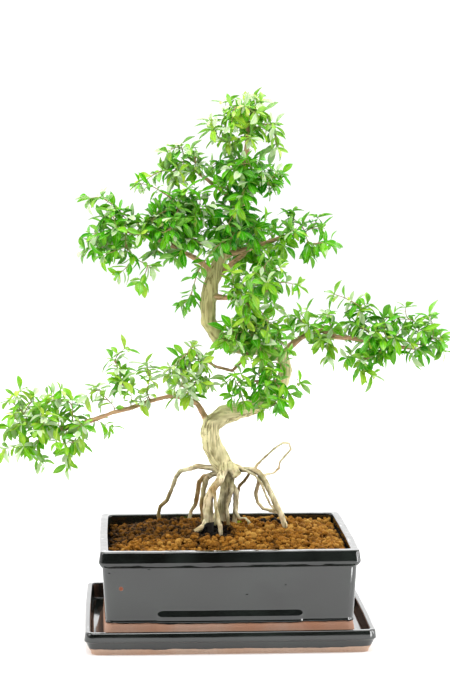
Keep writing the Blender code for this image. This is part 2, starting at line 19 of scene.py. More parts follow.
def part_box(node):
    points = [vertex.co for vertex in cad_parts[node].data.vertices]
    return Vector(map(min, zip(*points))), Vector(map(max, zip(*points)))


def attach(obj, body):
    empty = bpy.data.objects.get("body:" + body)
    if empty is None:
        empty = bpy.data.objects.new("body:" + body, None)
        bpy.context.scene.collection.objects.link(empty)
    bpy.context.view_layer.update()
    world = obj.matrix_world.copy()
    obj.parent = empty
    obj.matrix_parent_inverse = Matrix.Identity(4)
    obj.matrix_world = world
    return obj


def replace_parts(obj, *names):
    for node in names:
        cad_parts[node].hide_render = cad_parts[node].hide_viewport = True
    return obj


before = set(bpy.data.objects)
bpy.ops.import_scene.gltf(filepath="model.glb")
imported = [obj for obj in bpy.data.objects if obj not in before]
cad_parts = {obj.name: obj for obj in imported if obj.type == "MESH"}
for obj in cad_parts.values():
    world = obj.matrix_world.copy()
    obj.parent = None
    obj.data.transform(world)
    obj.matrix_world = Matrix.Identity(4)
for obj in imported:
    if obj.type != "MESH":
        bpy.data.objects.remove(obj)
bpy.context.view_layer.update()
MM = 0.001
scene = bpy.context.scene
# Noise vectors are offset by the clock unless they are given a seed.
noise.seed_set(3)

# %% [markdown]
# ## Small helpers
#
# Colours are written as they look on a screen and turned to linear light once. One function adds
# a shader node with its settings and what feeds it. The others turn a bmesh into a mesh, an object
# and a shown piece.

# %% Helpers


def colour(code, alpha=1.0):
    """A screen colour such as #7a5a30 as linear red, green, blue and alpha."""
    parts = [int(code[i:i + 2], 16) / 255 for i in (1, 3, 5)]
    return (*[c / 12.92 if c < 0.04045 else ((c + 0.055) / 1.055) ** 2.4 for c in parts], alpha)


def feed(node, feeds):
    """Set a node's inputs, each to a value or linked to another node's output."""
    for name, value in feeds.items():
        if isinstance(value, bpy.types.NodeSocket):
            node.id_data.links.new(value, node.inputs[name])
        else:
            node.inputs[name].default_value = value


# The output that each kind of node is mostly wanted for.
USUAL_OUTPUT = {
    "Attribute": "Fac", "Bump": "Normal", "LightPath": "Is Camera Ray", "MapRange": "Result",
    "Math": 0, "Mix": 2, "SeparateXYZ": "Z", "TexCoord": "Object", "TexNoise": "Fac",
    "TexVoronoi": "Distance", "VectorMath": "Value",
}
USUAL_SETTINGS = {"Mix": {"data_type": "RGBA"}}


def add(tree, kind, feeds=None, wanted=None, **settings):
    """One node with its own settings and feeds. It gives the output that is wanted of it."""
    node = tree.nodes.new("ShaderNode" + kind)
    for name, value in {**USUAL_SETTINGS.get(kind, {}), **settings}.items():
        setattr(node, name, value)
    feed(node, feeds or {})
    return node.outputs[USUAL_OUTPUT[kind] if wanted is None else wanted]


def new_finish(name, **constants):
    """A material with its Principled shader, whose constant inputs are set by name."""
    material = bpy.data.materials.new(name)
    material.use_nodes = True
    shader = material.node_tree.nodes["Principled BSDF"]
    for words, value in constants.items():
        feed(shader, {words.replace("_", " ").title().replace("Ior", "IOR"): value})
    return material, material.node_tree, shader


def mesh_of(bm, name, material=None):
    """Turn a finished bmesh into a mesh."""
    mesh = bpy.data.meshes.new(name)
    bm.to_mesh(mesh)
    bm.free()
    if material:
        mesh.materials.append(material)
    return mesh


def shown(name, data):
    """An object in the scene that holds this mesh, lamp, camera or curve."""
    holder = bpy.data.objects.new(name, data)
    scene.collection.objects.link(holder)
    return holder


def baked_out(holder):
    """The mesh that a helper object gives with its modifiers. The object itself goes."""
    view = bpy.context.evaluated_depsgraph_get()
    mesh = bpy.data.meshes.new_from_object(holder.evaluated_get(view))
    bpy.data.objects.remove(holder, do_unlink=True)
    return mesh


def riding(name, mesh):
    """Show a mesh as a piece that rides with the pot."""
    piece = shown(name, mesh)
    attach(piece, "root")
    print(name, len(mesh.polygons), "faces")
    return piece


def piece_from(bm, name, material, smooth_degrees=40):
    """Close the bmesh into a shown piece."""
    mesh = mesh_of(bm, name, material)
    mesh.shade_smooth()
    mesh.set_sharp_from_angle(angle=math.radians(smooth_degrees))
    return riding(name, mesh)


# %% [markdown]
# ## Camera
#
# A long lens from a little above the pot's rim keeps the pot's sides almost parallel. The camera
# looks at a point on the trunk, and is turned by a tenth of a degree about its own line of sight.

# %% Camera
CAMERA_PLACE = Vector((-0.1292, -2.3570, 0.5999))
CAMERA_TARGET = Vector((0.0005, 0.0200, 0.3280))
CAMERA_LENS = 113.55
CAMERA_ROLL = math.radians(0.1)

camera_data = bpy.data.cameras.new("camera")
camera_data.lens = CAMERA_LENS
camera_data.sensor_width = 36
camera = shown("camera", camera_data)
aim = (CAMERA_TARGET - CAMERA_PLACE).to_track_quat("-Z", "Y").to_matrix().to_4x4()
camera.matrix_world = Matrix.Translation(CAMERA_PLACE) @ aim @ Matrix.Rotation(CAMERA_ROLL, 4, "Z")
scene.camera = camera
print("camera", [round(c, 3) for c in CAMERA_PLACE])

# %% [markdown]
# ## Studio
#
# The tree stands on a white sweep under large soft lights. Black glaze shows what it reflects,
# so the room matters: white above and behind, and darker on the side where the camera stands,
# which is what makes the rim band read black while the wall below it reads grey.

# %% Floor
FLOOR_RADIUS = 6.0
paper = new_finish("white_paper", roughness=0.9, base_color=(0.9, 0.9, 0.9, 1))[0]
bm = bmesh.new()
bmesh.ops.create_circle(bm, cap_ends=True, segments=96, radius=FLOOR_RADIUS)
floor = shown("floor", mesh_of(bm, "floor", paper))
print("floor", FLOOR_RADIUS, "m")

# %% World
ROOM_LIGHT = 1.1
BACKDROP = 1.9
WHITE = (1, 1, 1, 1)
DARK_SIDE = (0.02, 0.02, 0.02, 1)
world = bpy.data.worlds.new("studio")
scene.world = world
world.use_nodes = True
sky = world.node_tree
direction = add(sky, "TexCoord", wanted="Generated")
way = add(sky, "SeparateXYZ", {"Vector": direction}).node.outputs
front = add(sky, "MapRange", {"Value": way["Y"], "From Min": -0.15, "From Max": -0.75})
low = add(sky, "MapRange", {"Value": way["Z"], "From Min": 0.97, "From Max": 0.85})
dark = add(sky, "Math", {0: front, 1: low}, operation="MULTIPLY")
back = add(sky, "MapRange", {"Value": way["Y"], "From Min": 0.1, "From Max": 0.7})
wall = add(sky, "Mix", {"Factor": back, 6: WHITE, 7: (BACKDROP, BACKDROP, BACKDROP, 1)})
shade = add(sky, "Mix", {"Factor": dark, 6: wall, 7: DARK_SIDE})
seen = add(sky, "Mix", {"Factor": add(sky, "LightPath"), 6: shade, 7: WHITE})
feed(sky.nodes["Background"], {"Color": seen, "Strength": ROOM_LIGHT})
scene.view_settings.view_transform = "Standard"
print("room light", ROOM_LIGHT)

# %% Softboxes


def softbox(name, place, size, watts, target=(0, 0, 0.25)):
    """A square area light that faces the target."""
    lamp = bpy.data.lights.new(name, "AREA")
    lamp.shape = "RECTANGLE"
    lamp.size, lamp.size_y = size
    lamp.energy = watts
    holder = shown(name, lamp)
    turn = (Vector(target) - Vector(place)).to_track_quat("-Z", "Y").to_matrix().to_4x4()
    holder.matrix_world = Matrix.Translation(place) @ turn
    return holder


def gleam(name, place, size, watts, target):
    """A strip that only shows as a reflection, as on the pot's corners."""
    strip = softbox(name, place, size, watts, target)
    strip.visible_diffuse = False
    strip.visible_camera = False


softbox("softbox_top", (0.1, 0.1, 2.2), (1.8, 1.8), 34)
softbox("softbox_left", (-1.9, -0.9, 1.3), (0.9, 1.6), 22)
softbox("softbox_right", (1.9, -0.5, 1.2), (0.8, 1.6), 20)
softbox("softbox_front", (-0.5, -1.5, 2.5), (1.2, 0.9), 26)
softbox("softbox_back", (0.3, 2.2, 1.3), (2.0, 1.2), 16)
gleam("strip_right", (0.62, -0.16, 0.14), (0.07, 0.26), 0.9, (0.14, -0.1, 0.08))
gleam("strip_front_right", (0.285, -0.235, 0.075), (0.07, 0.14), 0.34, (0.14, -0.1, 0.07))
print("five softboxes and two strips")

# %% [markdown]
# ## Pot and tray: the form
#
# Both are pressed from stoneware clay in a mould, so they are rounded rectangles all the way up,
# with sides that swell a little. The form is one face, extruded from level to level along a
# profile whose corners are softened, as the clay's are by the sponge. The levels stay closed, so
# the piece is a solid.

# %% Levels of a rounded rectangle
SIDE_STEP = 3 * MM
CORNER_STEPS = 7
BOW = 1 * MM


def level_points(length, width, height, corner):
    """One level: four arcs, and four sides that swell out by the bow."""
    half = Vector((length / 2 - corner, width / 2 - corner))
    points = []
    for quarter in range(4):
        turn = Matrix.Rotation(quarter * math.pi / 2, 2)
        reach = half if quarter % 2 == 0 else half.yx
        for step in range(CORNER_STEPS):
            angle = step * math.pi / 2 / (CORNER_STEPS - 1)
            points.append(turn @ (reach + corner * Vector((math.cos(angle), math.sin(angle)))))
        steps = round((pot_size.x, pot_size.y)[quarter % 2] / SIDE_STEP)
        for step in range(1, steps):
            share = step / steps
            swell = BOW * (1 - (2 * share - 1) ** 2)
            points.append(turn @ Vector((reach.x * (1 - 2 * share), reach.y + corner + swell)))
    return [(point.x, point.y, height) for point in points]


def softened(profile, steps=4):
    """The profile's (inset, height, rounding) corners, each turned into a short curve."""
    points = []
    for before, here, after in zip(profile, profile[1:], profile[2:]):
        middle = Vector(here[:2])
        to_before = Vector(before[:2]) - middle
        to_after = Vector(after[:2]) - middle
        start = middle + to_before.normalized() * min(here[2], to_before.length * 0.45)
        end = middle + to_after.normalized() * min(here[2], to_after.length * 0.45)
        for step in range(steps + 1):
            share = step / steps
            points.append(start.lerp(middle, share).lerp(middle.lerp(end, share), share))
    return [Vector(profile[0][:2])] + points + [Vector(profile[-1][:2])]


def subdivided(points, longest):
    """The same profile with no step longer than this."""
    fine = [points[0]]
    for point in points[1:]:
        last = fine[-1]
        steps = max(1, math.ceil((point - last).length / longest))
        fine += [last.lerp(point, step / steps) for step in range(1, steps + 1)]
    return fine


def turned_up(size, points, outer_corner, inner_corner, top, wall_corner, wall_top):
    """Extrude a level through the profile's points, with a corner each for rim, wall and inside."""
    bm = bmesh.new()
    inside = bm.verts.layers.float.new("inside")
    levels = []
    over_the_rim = False
    for inset, height in points:
        over_the_rim = over_the_rim or (height > top - 0.5 * MM and inset > 3.5 * MM)
        corner = wall_corner if height < wall_top else outer_corner - inset * 0.6
        corner = inner_corner if over_the_rim else corner
        level = level_points(size.x - 2 * inset, size.y - 2 * inset, height, corner)
        levels.append((level, float(over_the_rim)))
    first = bm.faces.new([bm.verts.new(point) for point in levels[0][0]])
    face = first
    for level, is_inside in levels[1:]:
        grown = bmesh.ops.extrude_face_region(bm, geom=[face])
        if face != first:
            bmesh.ops.delete(bm, geom=[face], context="FACES_ONLY")
        face = next(part for part in grown["geom"] if isinstance(part, bmesh.types.BMFace))
        for vert, point in zip(face.verts, level):
            vert.co = point
            vert[inside] = is_inside
    bmesh.ops.recalc_face_normals(bm, faces=bm.faces[:])
    return bm


def warp(bm, amount, scale):
    """The slight unevenness that clay keeps after drying and firing."""
    for vert in bm.verts:
        vert.co += noise.noise_vector(vert.co / scale) * amount


pot_low, pot_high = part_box("pot")
pot_size = Vector((pot_high.x - pot_low.x - 2 * BOW, pot_high.y - pot_low.y - 2 * BOW))
tray_low, tray_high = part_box("drip_tray")
tray_size = Vector((tray_high.x - tray_low.x - 2 * BOW, tray_high.y - tray_low.y - 2 * BOW))
print("pot", [round(c / MM) for c in pot_size], "tray", [round(c / MM) for c in tray_size])

# %% [markdown]
# ## Glaze and bare clay
#
# The finish is a charcoal stoneware glaze, dipped and wiped off the foot before firing. The glaze
# is glass: black underneath, almost a mirror on top, with a few pinholes and a soft ripple. Where
# it was wiped off, the clay shows pinkish tan, dull and fine-grained. The line between the two
# wavers by a millimetre or two, and the glaze gathers there in a dark bead.

# %% Stoneware glaze and clay
GLAZE_IOR = 1.68
GLAZE_BLACK = colour("#0b0c0a")
GLAZE_GREY = colour("#202522")
# The bare clay's two shades, pink and orange, on the pot and on the dustier tray.
POT_CLAY = (colour("#b8937e"), colour("#b37b5a"))
TRAY_CLAY = (colour("#c3a793"), colour("#bd957a"))
CLAY_DARK = colour("#8a6350")
CHIP_RED = colour("#7a3a1e")
PIT_BROWN = colour("#3a2318")
# On the pot's front: a chip in the glaze, and lumps where a grain of grit lies under it.
CHIPS = [((-118, -106, 70), 2.7)]
LUMPS = [
    ((18, -106, 61), 1.6), ((-131, -106, 86), 1.4), ((-88, -106, 90), 1.2), ((60, -106, 72), 1.0),
    ((-103, -106, 63), 0.9), ((98, -106, 62), 0.8), ((40, -106, 96), 0.8),
]


def spotted(tree, place, ragged, spots):
    """One inside the spots, each a point and a reach in millimetres, and zero elsewhere."""
    share = 0.0
    for spot, reach in spots:
        away = add(tree, "VectorMath", {0: place, 1: Vector(spot) * MM}, operation="DISTANCE")
        away = add(tree, "Math", {0: ragged, 1: 2 * MM, 2: away}, operation="MULTIPLY_ADD")
        near = add(tree, "MapRange", {
            "Value": away, "From Min": (reach + 1.4) * MM, "From Max": (reach + 0.7) * MM,
        })
        share = add(tree, "Math", {0: share, 1: near}, operation="MAXIMUM")
    return share


def stoneware(name, clay_line, clay_shades, chips=(), lumps=()):
    """Charcoal glaze above a wavering line at this height, bare clay below it and in its chips."""
    material, tree, shader = new_finish(name, ior=GLAZE_IOR)
    place = add(tree, "TexCoord")
    height = add(tree, "SeparateXYZ", {"Vector": place})
    waver = add(tree, "TexNoise", {"Vector": place, "Scale": 38.0, "Detail": 3.0})
    line = add(tree, "MapRange", {
        "Value": waver, "From Min": 0.3, "From Max": 0.7,
        "To Min": clay_line - 1.1 * MM, "To Max": clay_line + 1.1 * MM,
    })
    above = add(tree, "Math", {0: height, 1: line}, operation="SUBTRACT")
    inside = add(tree, "Attribute", attribute_name="inside")
    above = add(tree, "Math", {0: above, 1: inside}, operation="ADD")
    glazed = add(tree, "MapRange", {"Value": above, "From Max": 0.35 * MM})
    cloud = add(tree, "TexNoise", {"Vector": place, "Scale": 22.0, "Detail": 5.0})
    chip = spotted(tree, place, waver, chips)
    glazed = add(tree, "Math", {0: glazed, 1: chip}, operation="SUBTRACT")
    thin = add(tree, "MapRange", {"Value": cloud, "From Min": 0.35, "From Max": 0.75})
    glaze = add(tree, "Mix", {"Factor": thin, 6: GLAZE_BLACK, 7: GLAZE_GREY})
    pits = add(tree, "TexVoronoi", {"Vector": place, "Scale": 95.0})
    pit = add(tree, "MapRange", {"Value": pits, "From Min": 0.11, "From Max": 0.05})
    chance = add(tree, "TexNoise", {"Vector": place, "Scale": 17.0})
    rare = add(tree, "MapRange", {"Value": chance, "From Min": 0.56, "From Max": 0.6})
    pit = add(tree, "Math", {0: pit, 1: rare}, operation="MULTIPLY")
    glaze = add(tree, "Mix", {"Factor": pit, 6: glaze, 7: PIT_BROWN})
    grain = add(tree, "TexNoise", {"Vector": place, "Scale": 900.0, "Detail": 3.0})
    tint = add(tree, "TexNoise", {"Vector": place, "Scale": 14.0, "Detail": 4.0})
    tint = add(tree, "MapRange", {"Value": tint, "From Min": 0.38, "From Max": 0.66})
    clay = add(tree, "Mix", {"Factor": tint, 6: clay_shades[0], 7: clay_shades[1]})
    spots = add(tree, "MapRange", {"Value": grain, "From Min": 0.5, "From Max": 0.8, "To Max": 0.5})
    clay = add(tree, "Mix", {"Factor": spots, 6: clay, 7: CLAY_DARK})
    clay = add(tree, "Mix", {"Factor": chip, 6: clay, 7: CHIP_RED})
    body = add(tree, "Mix", {"Factor": glazed, 6: clay, 7: glaze})
    smear = add(tree, "MapRange", {"Value": cloud, "To Min": 0.03, "To Max": 0.13})
    gloss = add(tree, "Mix", {"Factor": glazed, 2: 0.85, 3: smear}, 0, data_type="FLOAT")
    ripple = add(tree, "TexNoise", {"Vector": place, "Scale": 60.0, "Detail": 2.0})
    ripple = add(tree, "Math", {0: ripple, 1: 0.35}, operation="MULTIPLY")
    relief = add(tree, "Mix", {"Factor": glazed, 2: grain, 3: ripple}, 0, data_type="FLOAT")
    bead = add(tree, "MapRange", {"Value": above, "From Max": 1.2 * MM, "To Max": 0.9})
    relief = add(tree, "Math", {0: relief, 1: bead}, operation="ADD")
    lump = spotted(tree, place, waver, lumps)
    relief = add(tree, "Math", {0: lump, 1: 2.6, 2: relief}, operation="MULTIPLY_ADD")
    bump = add(tree, "Bump", {"Height": relief, "Strength": 0.35, "Distance": 0.4 * MM})
    feed(shader, {"Base Color": body, "Roughness": gloss, "Normal": bump})
    return material


POT_CLAY_LINE = pot_low.z + 23.7 * MM
TRAY_CLAY_LINE = 6.5 * MM
pot_finish = stoneware("charcoal_stoneware_pot", POT_CLAY_LINE, POT_CLAY, CHIPS, LUMPS)
tray_finish = stoneware("charcoal_stoneware_tray", TRAY_CLAY_LINE, TRAY_CLAY)
print("clay line", round(POT_CLAY_LINE / MM, 1), "and", round(TRAY_CLAY_LINE / MM, 1), "mm")

# %% [markdown]
# ## The tray
#
# A shallow dish with a flat rim, an upright band, and a wall that tapers to a bare foot.

# %% Tray
tray_top = tray_high.z
tray_floor = pot_low.z - 0.3 * MM
tray_profile = [
    (7.6 * MM, 0, 0),
    (7.4 * MM, 2.6 * MM, 0.8 * MM),
    (5.2 * MM, 6.2 * MM, 1.5 * MM),
    (1.8 * MM, 14.4 * MM, 0.8 * MM),
    (0.1 * MM, 15.8 * MM, 0.8 * MM),
    (1.2 * MM, tray_top, 2.4 * MM),
    (7.2 * MM, tray_top, 1.8 * MM),
    (8.4 * MM, tray_floor + 1.2 * MM, 1.6 * MM),
    (11.0 * MM, tray_floor, 0),
]
tray_points = subdivided(softened(tray_profile), 4 * MM)
bm = turned_up(tray_size, tray_points, 10 * MM, 5 * MM, tray_top, 9 * MM, 14 * MM)
warp(bm, 0.25 * MM, 45 * MM)
for vert in bm.verts:
    if vert.co.z < 0.3 * MM:
        vert.co.z = 0
tray = piece_from(bm, "drip_tray_glazed", tray_finish, 50)
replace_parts(tray, "drip_tray")

# %% [markdown]
# ## The pot
#
# The wall leans in on its way down, under a heavy rim band. A wide low panel stands out from the
# front and the back, over an arch that lets the water out from under the pot. The panel is pushed
# out of the extruded wall; the arch, the hollow under the floor and the drain holes are cut.

# %% Pot body
PANEL_HALF = 80.5 * MM
PANEL_TOP = pot_low.z + 37.5 * MM
PANEL_RISE = 2.8 * MM
PANEL_SLOPE = 6 * MM
PANEL_CORNER = 7 * MM
POT_FLOOR_UNDER = pot_low.z + 13.2 * MM
POT_FLOOR = POT_FLOOR_UNDER + 6.5 * MM
pot_top = pot_high.z
pot_profile = [
    (5.7 * MM, pot_low.z, 0),
    (5.7 * MM, POT_FLOOR_UNDER, 2.0 * MM),
    (7.6 * MM, POT_CLAY_LINE - 0.6 * MM, 0.4 * MM),
    (6.6 * MM, POT_CLAY_LINE + 1.1 * MM, 1.0 * MM),
    (7.2 * MM, POT_CLAY_LINE + 3.6 * MM, 1.2 * MM),
    (3.9 * MM, pot_top - 18.0 * MM, 0.6 * MM),
    (2.8 * MM, pot_top - 17.3 * MM, 0.7 * MM),
    (0.1 * MM, pot_top - 13.2 * MM, 1.2 * MM),
    (2.0 * MM, pot_top, 2.2 * MM),
    (11.0 * MM, pot_top, 2.0 * MM),
    (11.4 * MM, pot_top - 6 * MM, 2.0 * MM),
    (16.2 * MM, POT_FLOOR + 4 * MM, 3.0 * MM),
    (20.5 * MM, POT_FLOOR, 0),
]


def panel_rise(x, z):
    """How far the panel stands out at a point of the wall: a slope with eased edges."""
    corner = Vector((PANEL_HALF - PANEL_CORNER, PANEL_TOP - PANEL_CORNER))
    beyond = Vector((max(abs(x) - corner.x, 0), max(z - corner.y, 0)))
    inside = PANEL_CORNER - beyond.length
    if beyond.length == 0:
        inside = PANEL_CORNER + min(corner.x - abs(x), corner.y - z)
    share = min(max(inside / PANEL_SLOPE, 0), 1)
    eased = share * share * (3 - 2 * share)
    return PANEL_RISE * (0.55 * share + 0.45 * eased)


pot_points = subdivided(softened(pot_profile), 1.6 * MM)
bm = turned_up(pot_size, pot_points, 7 * MM, 6 * MM, pot_top, 9.5 * MM, pot_top - 17.4 * MM)
wall_front = pot_size.y / 2 - 9 * MM
for vert in bm.verts:
    if abs(vert.co.y) > wall_front and vert.co.z < PANEL_TOP:
        vert.co.y += math.copysign(panel_rise(vert.co.x, vert.co.z), vert.co.y)
RUNNY_EDGE = pot_top - 13.2 * MM
for vert in bm.verts:
    near_edge = max(0, 1 - abs(vert.co.z - RUNNY_EDGE) / (3.5 * MM))
    near_rim = max(0, 1 - (pot_top - vert.co.z) / (3 * MM))
    run = noise.noise(vert.co / (26 * MM)) * 1.2 + noise.noise(vert.co / (8 * MM)) * 0.5
    vert.co.z += run * MM * (near_edge + 0.22 * near_rim)
warp(bm, 0.32 * MM, 70 * MM)
warp(bm, 0.06 * MM, 14 * MM)
for vert in bm.verts:
    if vert.co.z < pot_low.z + 0.5 * MM:
        vert.co.z = pot_low.z
pot = piece_from(bm, "pot_glazed", pot_finish, 50)
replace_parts(pot, "pot")

# %% Cuts in the pot's underside


def cut(target, bm):
    """Take the bmesh's solid out of the target for good."""
    bmesh.ops.recalc_face_normals(bm, faces=bm.faces[:])
    tool = shown("cutter", mesh_of(bm, "cutter"))
    step = target.modifiers.new("cut", "BOOLEAN")
    step.operation = "DIFFERENCE"
    step.solver = "EXACT"
    step.object = tool
    view = bpy.context.evaluated_depsgraph_get()
    result = bpy.data.meshes.new_from_object(target.evaluated_get(view))
    target.modifiers.clear()
    target.data = result
    bpy.data.objects.remove(tool, do_unlink=True)


def block(length, width, low, high, splay=0.0):
    """A box from low to high, whose lower end is longer by the splay at each side."""
    bm = bmesh.new()
    bmesh.ops.create_cube(bm, size=1)
    bmesh.ops.scale(bm, verts=bm.verts[:], vec=(length, width, high - low))
    bmesh.ops.translate(bm, verts=bm.verts[:], vec=(0, 0, (low + high) / 2))
    for vert in bm.verts:
        if vert.co.z < (low + high) / 2:
            vert.co.x += math.copysign(splay, vert.co.x)
    return bm


FOOT_REACH = 5.7 * MM + 13 * MM
under = pot_low.z - 4 * MM
hollow = block(pot_size.x - 2 * FOOT_REACH, pot_size.y - 2 * FOOT_REACH, under, POT_FLOOR_UNDER)
uprights = [edge for edge in hollow.edges if abs(edge.verts[0].co.z - edge.verts[1].co.z) > 1 * MM]
bmesh.ops.bevel(
    hollow, geom=uprights, offset=8 * MM, segments=5, profile=0.5, affect="EDGES", material=-1
)
cut(pot, hollow)
cut(pot, block(124 * MM, pot_size.y + 40 * MM, under, POT_FLOOR_UNDER, 5 * MM))
for side in (-1, 1):
    drain = bmesh.new()
    bmesh.ops.create_cone(
        drain, cap_ends=True, segments=32, radius1=8 * MM, radius2=8 * MM, depth=20 * MM,
        matrix=Matrix.Translation((side * 60 * MM, 0, POT_FLOOR)),
    )
    cut(pot, drain)
pot.data.shade_smooth()
pot.data.set_sharp_from_angle(angle=math.radians(45))
print("pot", len(pot.data.polygons), "faces after the cuts")

# %% [markdown]
# ## Wood: the form
#
# Trunk, roots and branches grew as one piece, and every fork has a soft web of new wood where
# straight tubes would leave a crease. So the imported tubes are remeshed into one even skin, which
# is then relaxed until the forks blend. The relaxing keeps the girth, by a push out after each
# pull in.

# %% Wood form
WOOD_CELL = 0.92 * MM
RELAX_ROUNDS = 9
PULL_IN = 0.55
PUSH_OUT = 0.58
SOIL_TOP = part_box("soil")[1].z


def node_copy(name):
    """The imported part's mesh as a bmesh, with its seams closed."""
    bm = bmesh.new()
    bm.from_mesh(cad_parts[name].data)
    bmesh.ops.remove_doubles(bm, verts=bm.verts[:], dist=0.02 * MM)
    return bm


def remeshed(bm, cell):
    """The bmesh's solid with an even skin of small squares."""
    holder = shown("skin", mesh_of(bm, "skin"))
    step = holder.modifiers.new("even", "REMESH")
    step.mode = "VOXEL"
    step.voxel_size = cell
    return baked_out(holder)


def neighbour_mean(values, ends, weights):
    """Each vertex's average over its neighbours, weighted by edge."""
    first, second = ends
    count = len(values)
    total = np.bincount(first, weights, count) + np.bincount(second, weights, count)
    table = values.reshape(count, -1)
    columns = [
        np.bincount(first, weights * table[second, i], count)
        + np.bincount(second, weights * table[first, i], count)
        for i in range(table.shape[1])
    ]
    return (np.stack(columns, 1) / np.maximum(total, 1e-9)[:, None]).reshape(values.shape)


def skin_arrays(mesh):
    """A mesh's points, normals and edge ends as arrays."""
    points = np.empty(len(mesh.vertices) * 3)
    mesh.vertices.foreach_get("co", points)
    normals = np.empty(len(mesh.vertices) * 3)
    mesh.vertex_normals.foreach_get("vector", normals)
    ends = np.empty(len(mesh.edges) * 2, int)
    mesh.edges.foreach_get("vertices", ends)
    return points.reshape(-1, 3), normals.reshape(-1, 3), ends.reshape(-1, 2).T


wood_mesh = remeshed(node_copy("tree_wood"), WOOD_CELL)
points, normals, ends = skin_arrays(wood_mesh)
even = np.ones(ends.shape[1])
for _ in range(RELAX_ROUNDS):
    points += PULL_IN * (neighbour_mean(points, ends, even) - points)
    points -= PUSH_OUT * (neighbour_mean(points, ends, even) - points)
wood_mesh.vertices.foreach_set("co", points.ravel())
wood_mesh.update()
print("wood skin", len(wood_mesh.polygons), "faces")

# %% [markdown]
# ## Wood: the bark
#
# The bark is thin and lies in long fibres that wind with the trunk. The fibres follow the limb's
# own line, which is the one way in which the skin's directions don't turn. Noise that is spread
# along that line only, many times over, leaves streaks. They lift the bark a little, and colour
# it: the furrows hold dirt and a film of green, the ridges are worn pale.

# %% Bark relief
points, normals, ends = skin_arrays(wood_mesh)
spread = np.einsum("ni,nj->nij", normals, normals)
for _ in range(26):
    spread = 0.5 * spread + 0.5 * neighbour_mean(spread, ends, even)
limb_line = np.linalg.eigh(spread)[1][:, :, 0]
edge_way = points[ends[1]] - points[ends[0]]
edge_way /= np.maximum(np.linalg.norm(edge_way, axis=1), 1e-9)[:, None]
along = (
    np.abs(np.einsum("ni,ni->n", edge_way, limb_line[ends[0]]))
    + np.abs(np.einsum("ni,ni->n", edge_way, limb_line[ends[1]]))
) / 2
dice = np.random.default_rng(11)


def streaks(softening, rounds):
    """Noise from -1 to 1 that runs in streaks along the limbs."""
    value = dice.normal(size=len(points))
    for _ in range(softening):
        value = neighbour_mean(value, ends, even)
    for _ in range(rounds):
        value = 0.35 * value + 0.65 * neighbour_mean(value, ends, along ** 8)
    return np.clip(value / (2.2 * value.std()), -1, 1)


fine_streaks = streaks(0, 45)
broad_streaks = streaks(7, 110)
skin_tree = BVHTree.FromPolygons(
    [tuple(point) for point in points], [tuple(face.vertices) for face in wood_mesh.polygons]
)
GIRTH_REACH = 30 * MM
SHADE_RAY_REACH = 35 * MM
SHADE_RAYS = 6
girth = np.empty(len(points))
for index, (point, normal) in enumerate(zip(points, normals)):
    inward = Vector(-normal)
    hit = skin_tree.ray_cast(Vector(point) + inward * 0.3 * MM, inward, GIRTH_REACH)
    girth[index] = hit[3] if hit[3] else GIRTH_REACH
for _ in range(14):
    girth = 0.4 * girth + 0.6 * neighbour_mean(girth, ends, even)
thick = np.clip(girth / (18 * MM), 0.12, 1)
lumps = np.array([noise.noise(Vector(point) / (5 * MM)) for point in points])
knots = np.array([noise.noise(Vector(point) / (13 * MM) + Vector((7, 3, 1))) for point in points])
WOOD_SWELL = 0.45 * MM
above_roots = np.clip((points[:, 2] - SOIL_TOP - 0.1) / 0.03, 0, 1)
relief = (
    WOOD_SWELL * (1 + thick) * (1 - 0.9 * above_roots * (1 - thick))
    + 0.25 * MM * fine_streaks * np.sqrt(thick)
    + 0.6 * MM * broad_streaks * thick
    + 0.75 * MM * lumps * np.sqrt(thick)
    + 1.0 * MM * knots * np.sqrt(thick)
)
# Painted shade: rays from the low wood count how much other wood blocks the way out, and that count
# darkens the bark between and under the roots.
painted_shade = np.zeros(len(points))
low_down = np.flatnonzero(points[:, 2] < SOIL_TOP + 0.09)
for _ in range(SHADE_RAYS):
    ways = normals[low_down] + dice.normal(size=(len(low_down), 3)) * 0.6
    for index, way in zip(low_down, ways):
        start = Vector(points[index] + normals[index] * 0.5 * MM)
        painted_shade[index] += skin_tree.ray_cast(start, Vector(way), SHADE_RAY_REACH)[0] is not None
for _ in range(10):
    painted_shade = 0.4 * painted_shade + 0.6 * neighbour_mean(painted_shade, ends, even)
points += normals * relief[:, None]
wood_mesh.vertices.foreach_set("co", points.ravel())
for name, values in (
    ("furrow", 0.5 - 0.44 * fine_streaks - 0.16 * broad_streaks),
    ("girth", girth / MM),
    ("painted_shade", painted_shade / SHADE_RAYS),
):
    layer = wood_mesh.attributes.new(name, "FLOAT", "POINT")
    layer.data.foreach_set("value", values.astype(np.float32))
wood_mesh.update()
print("girth", round(float(girth.min() / MM), 1), "to", round(float(girth.max() / MM), 1), "mm")

# %% Bark finish
BARK_RIDGE = colour("#ebe1af")
BARK_FURROW = colour("#6a5e2c")
BARK_UPPER = colour("#c0b780")
TWIG_BROWN = colour("#c39a76")
ROOT_CREAM = colour("#fcf1ca")
ROOT_BROWN = colour("#aa8a5c")
ALGAE_GREEN = colour("#8b8a4a")
DAMP_BROWN = colour("#3a2a15")
# Black at the front root's foot: soil on the wood, and painted shade of the hollow under the root.
SOIL_AND_SHADE_BLACK = colour("#140d06")
# Painted shade between and under the roots, laid on from the rays' count.
PAINTED_SHADE_OLIVE = colour("#332c12")

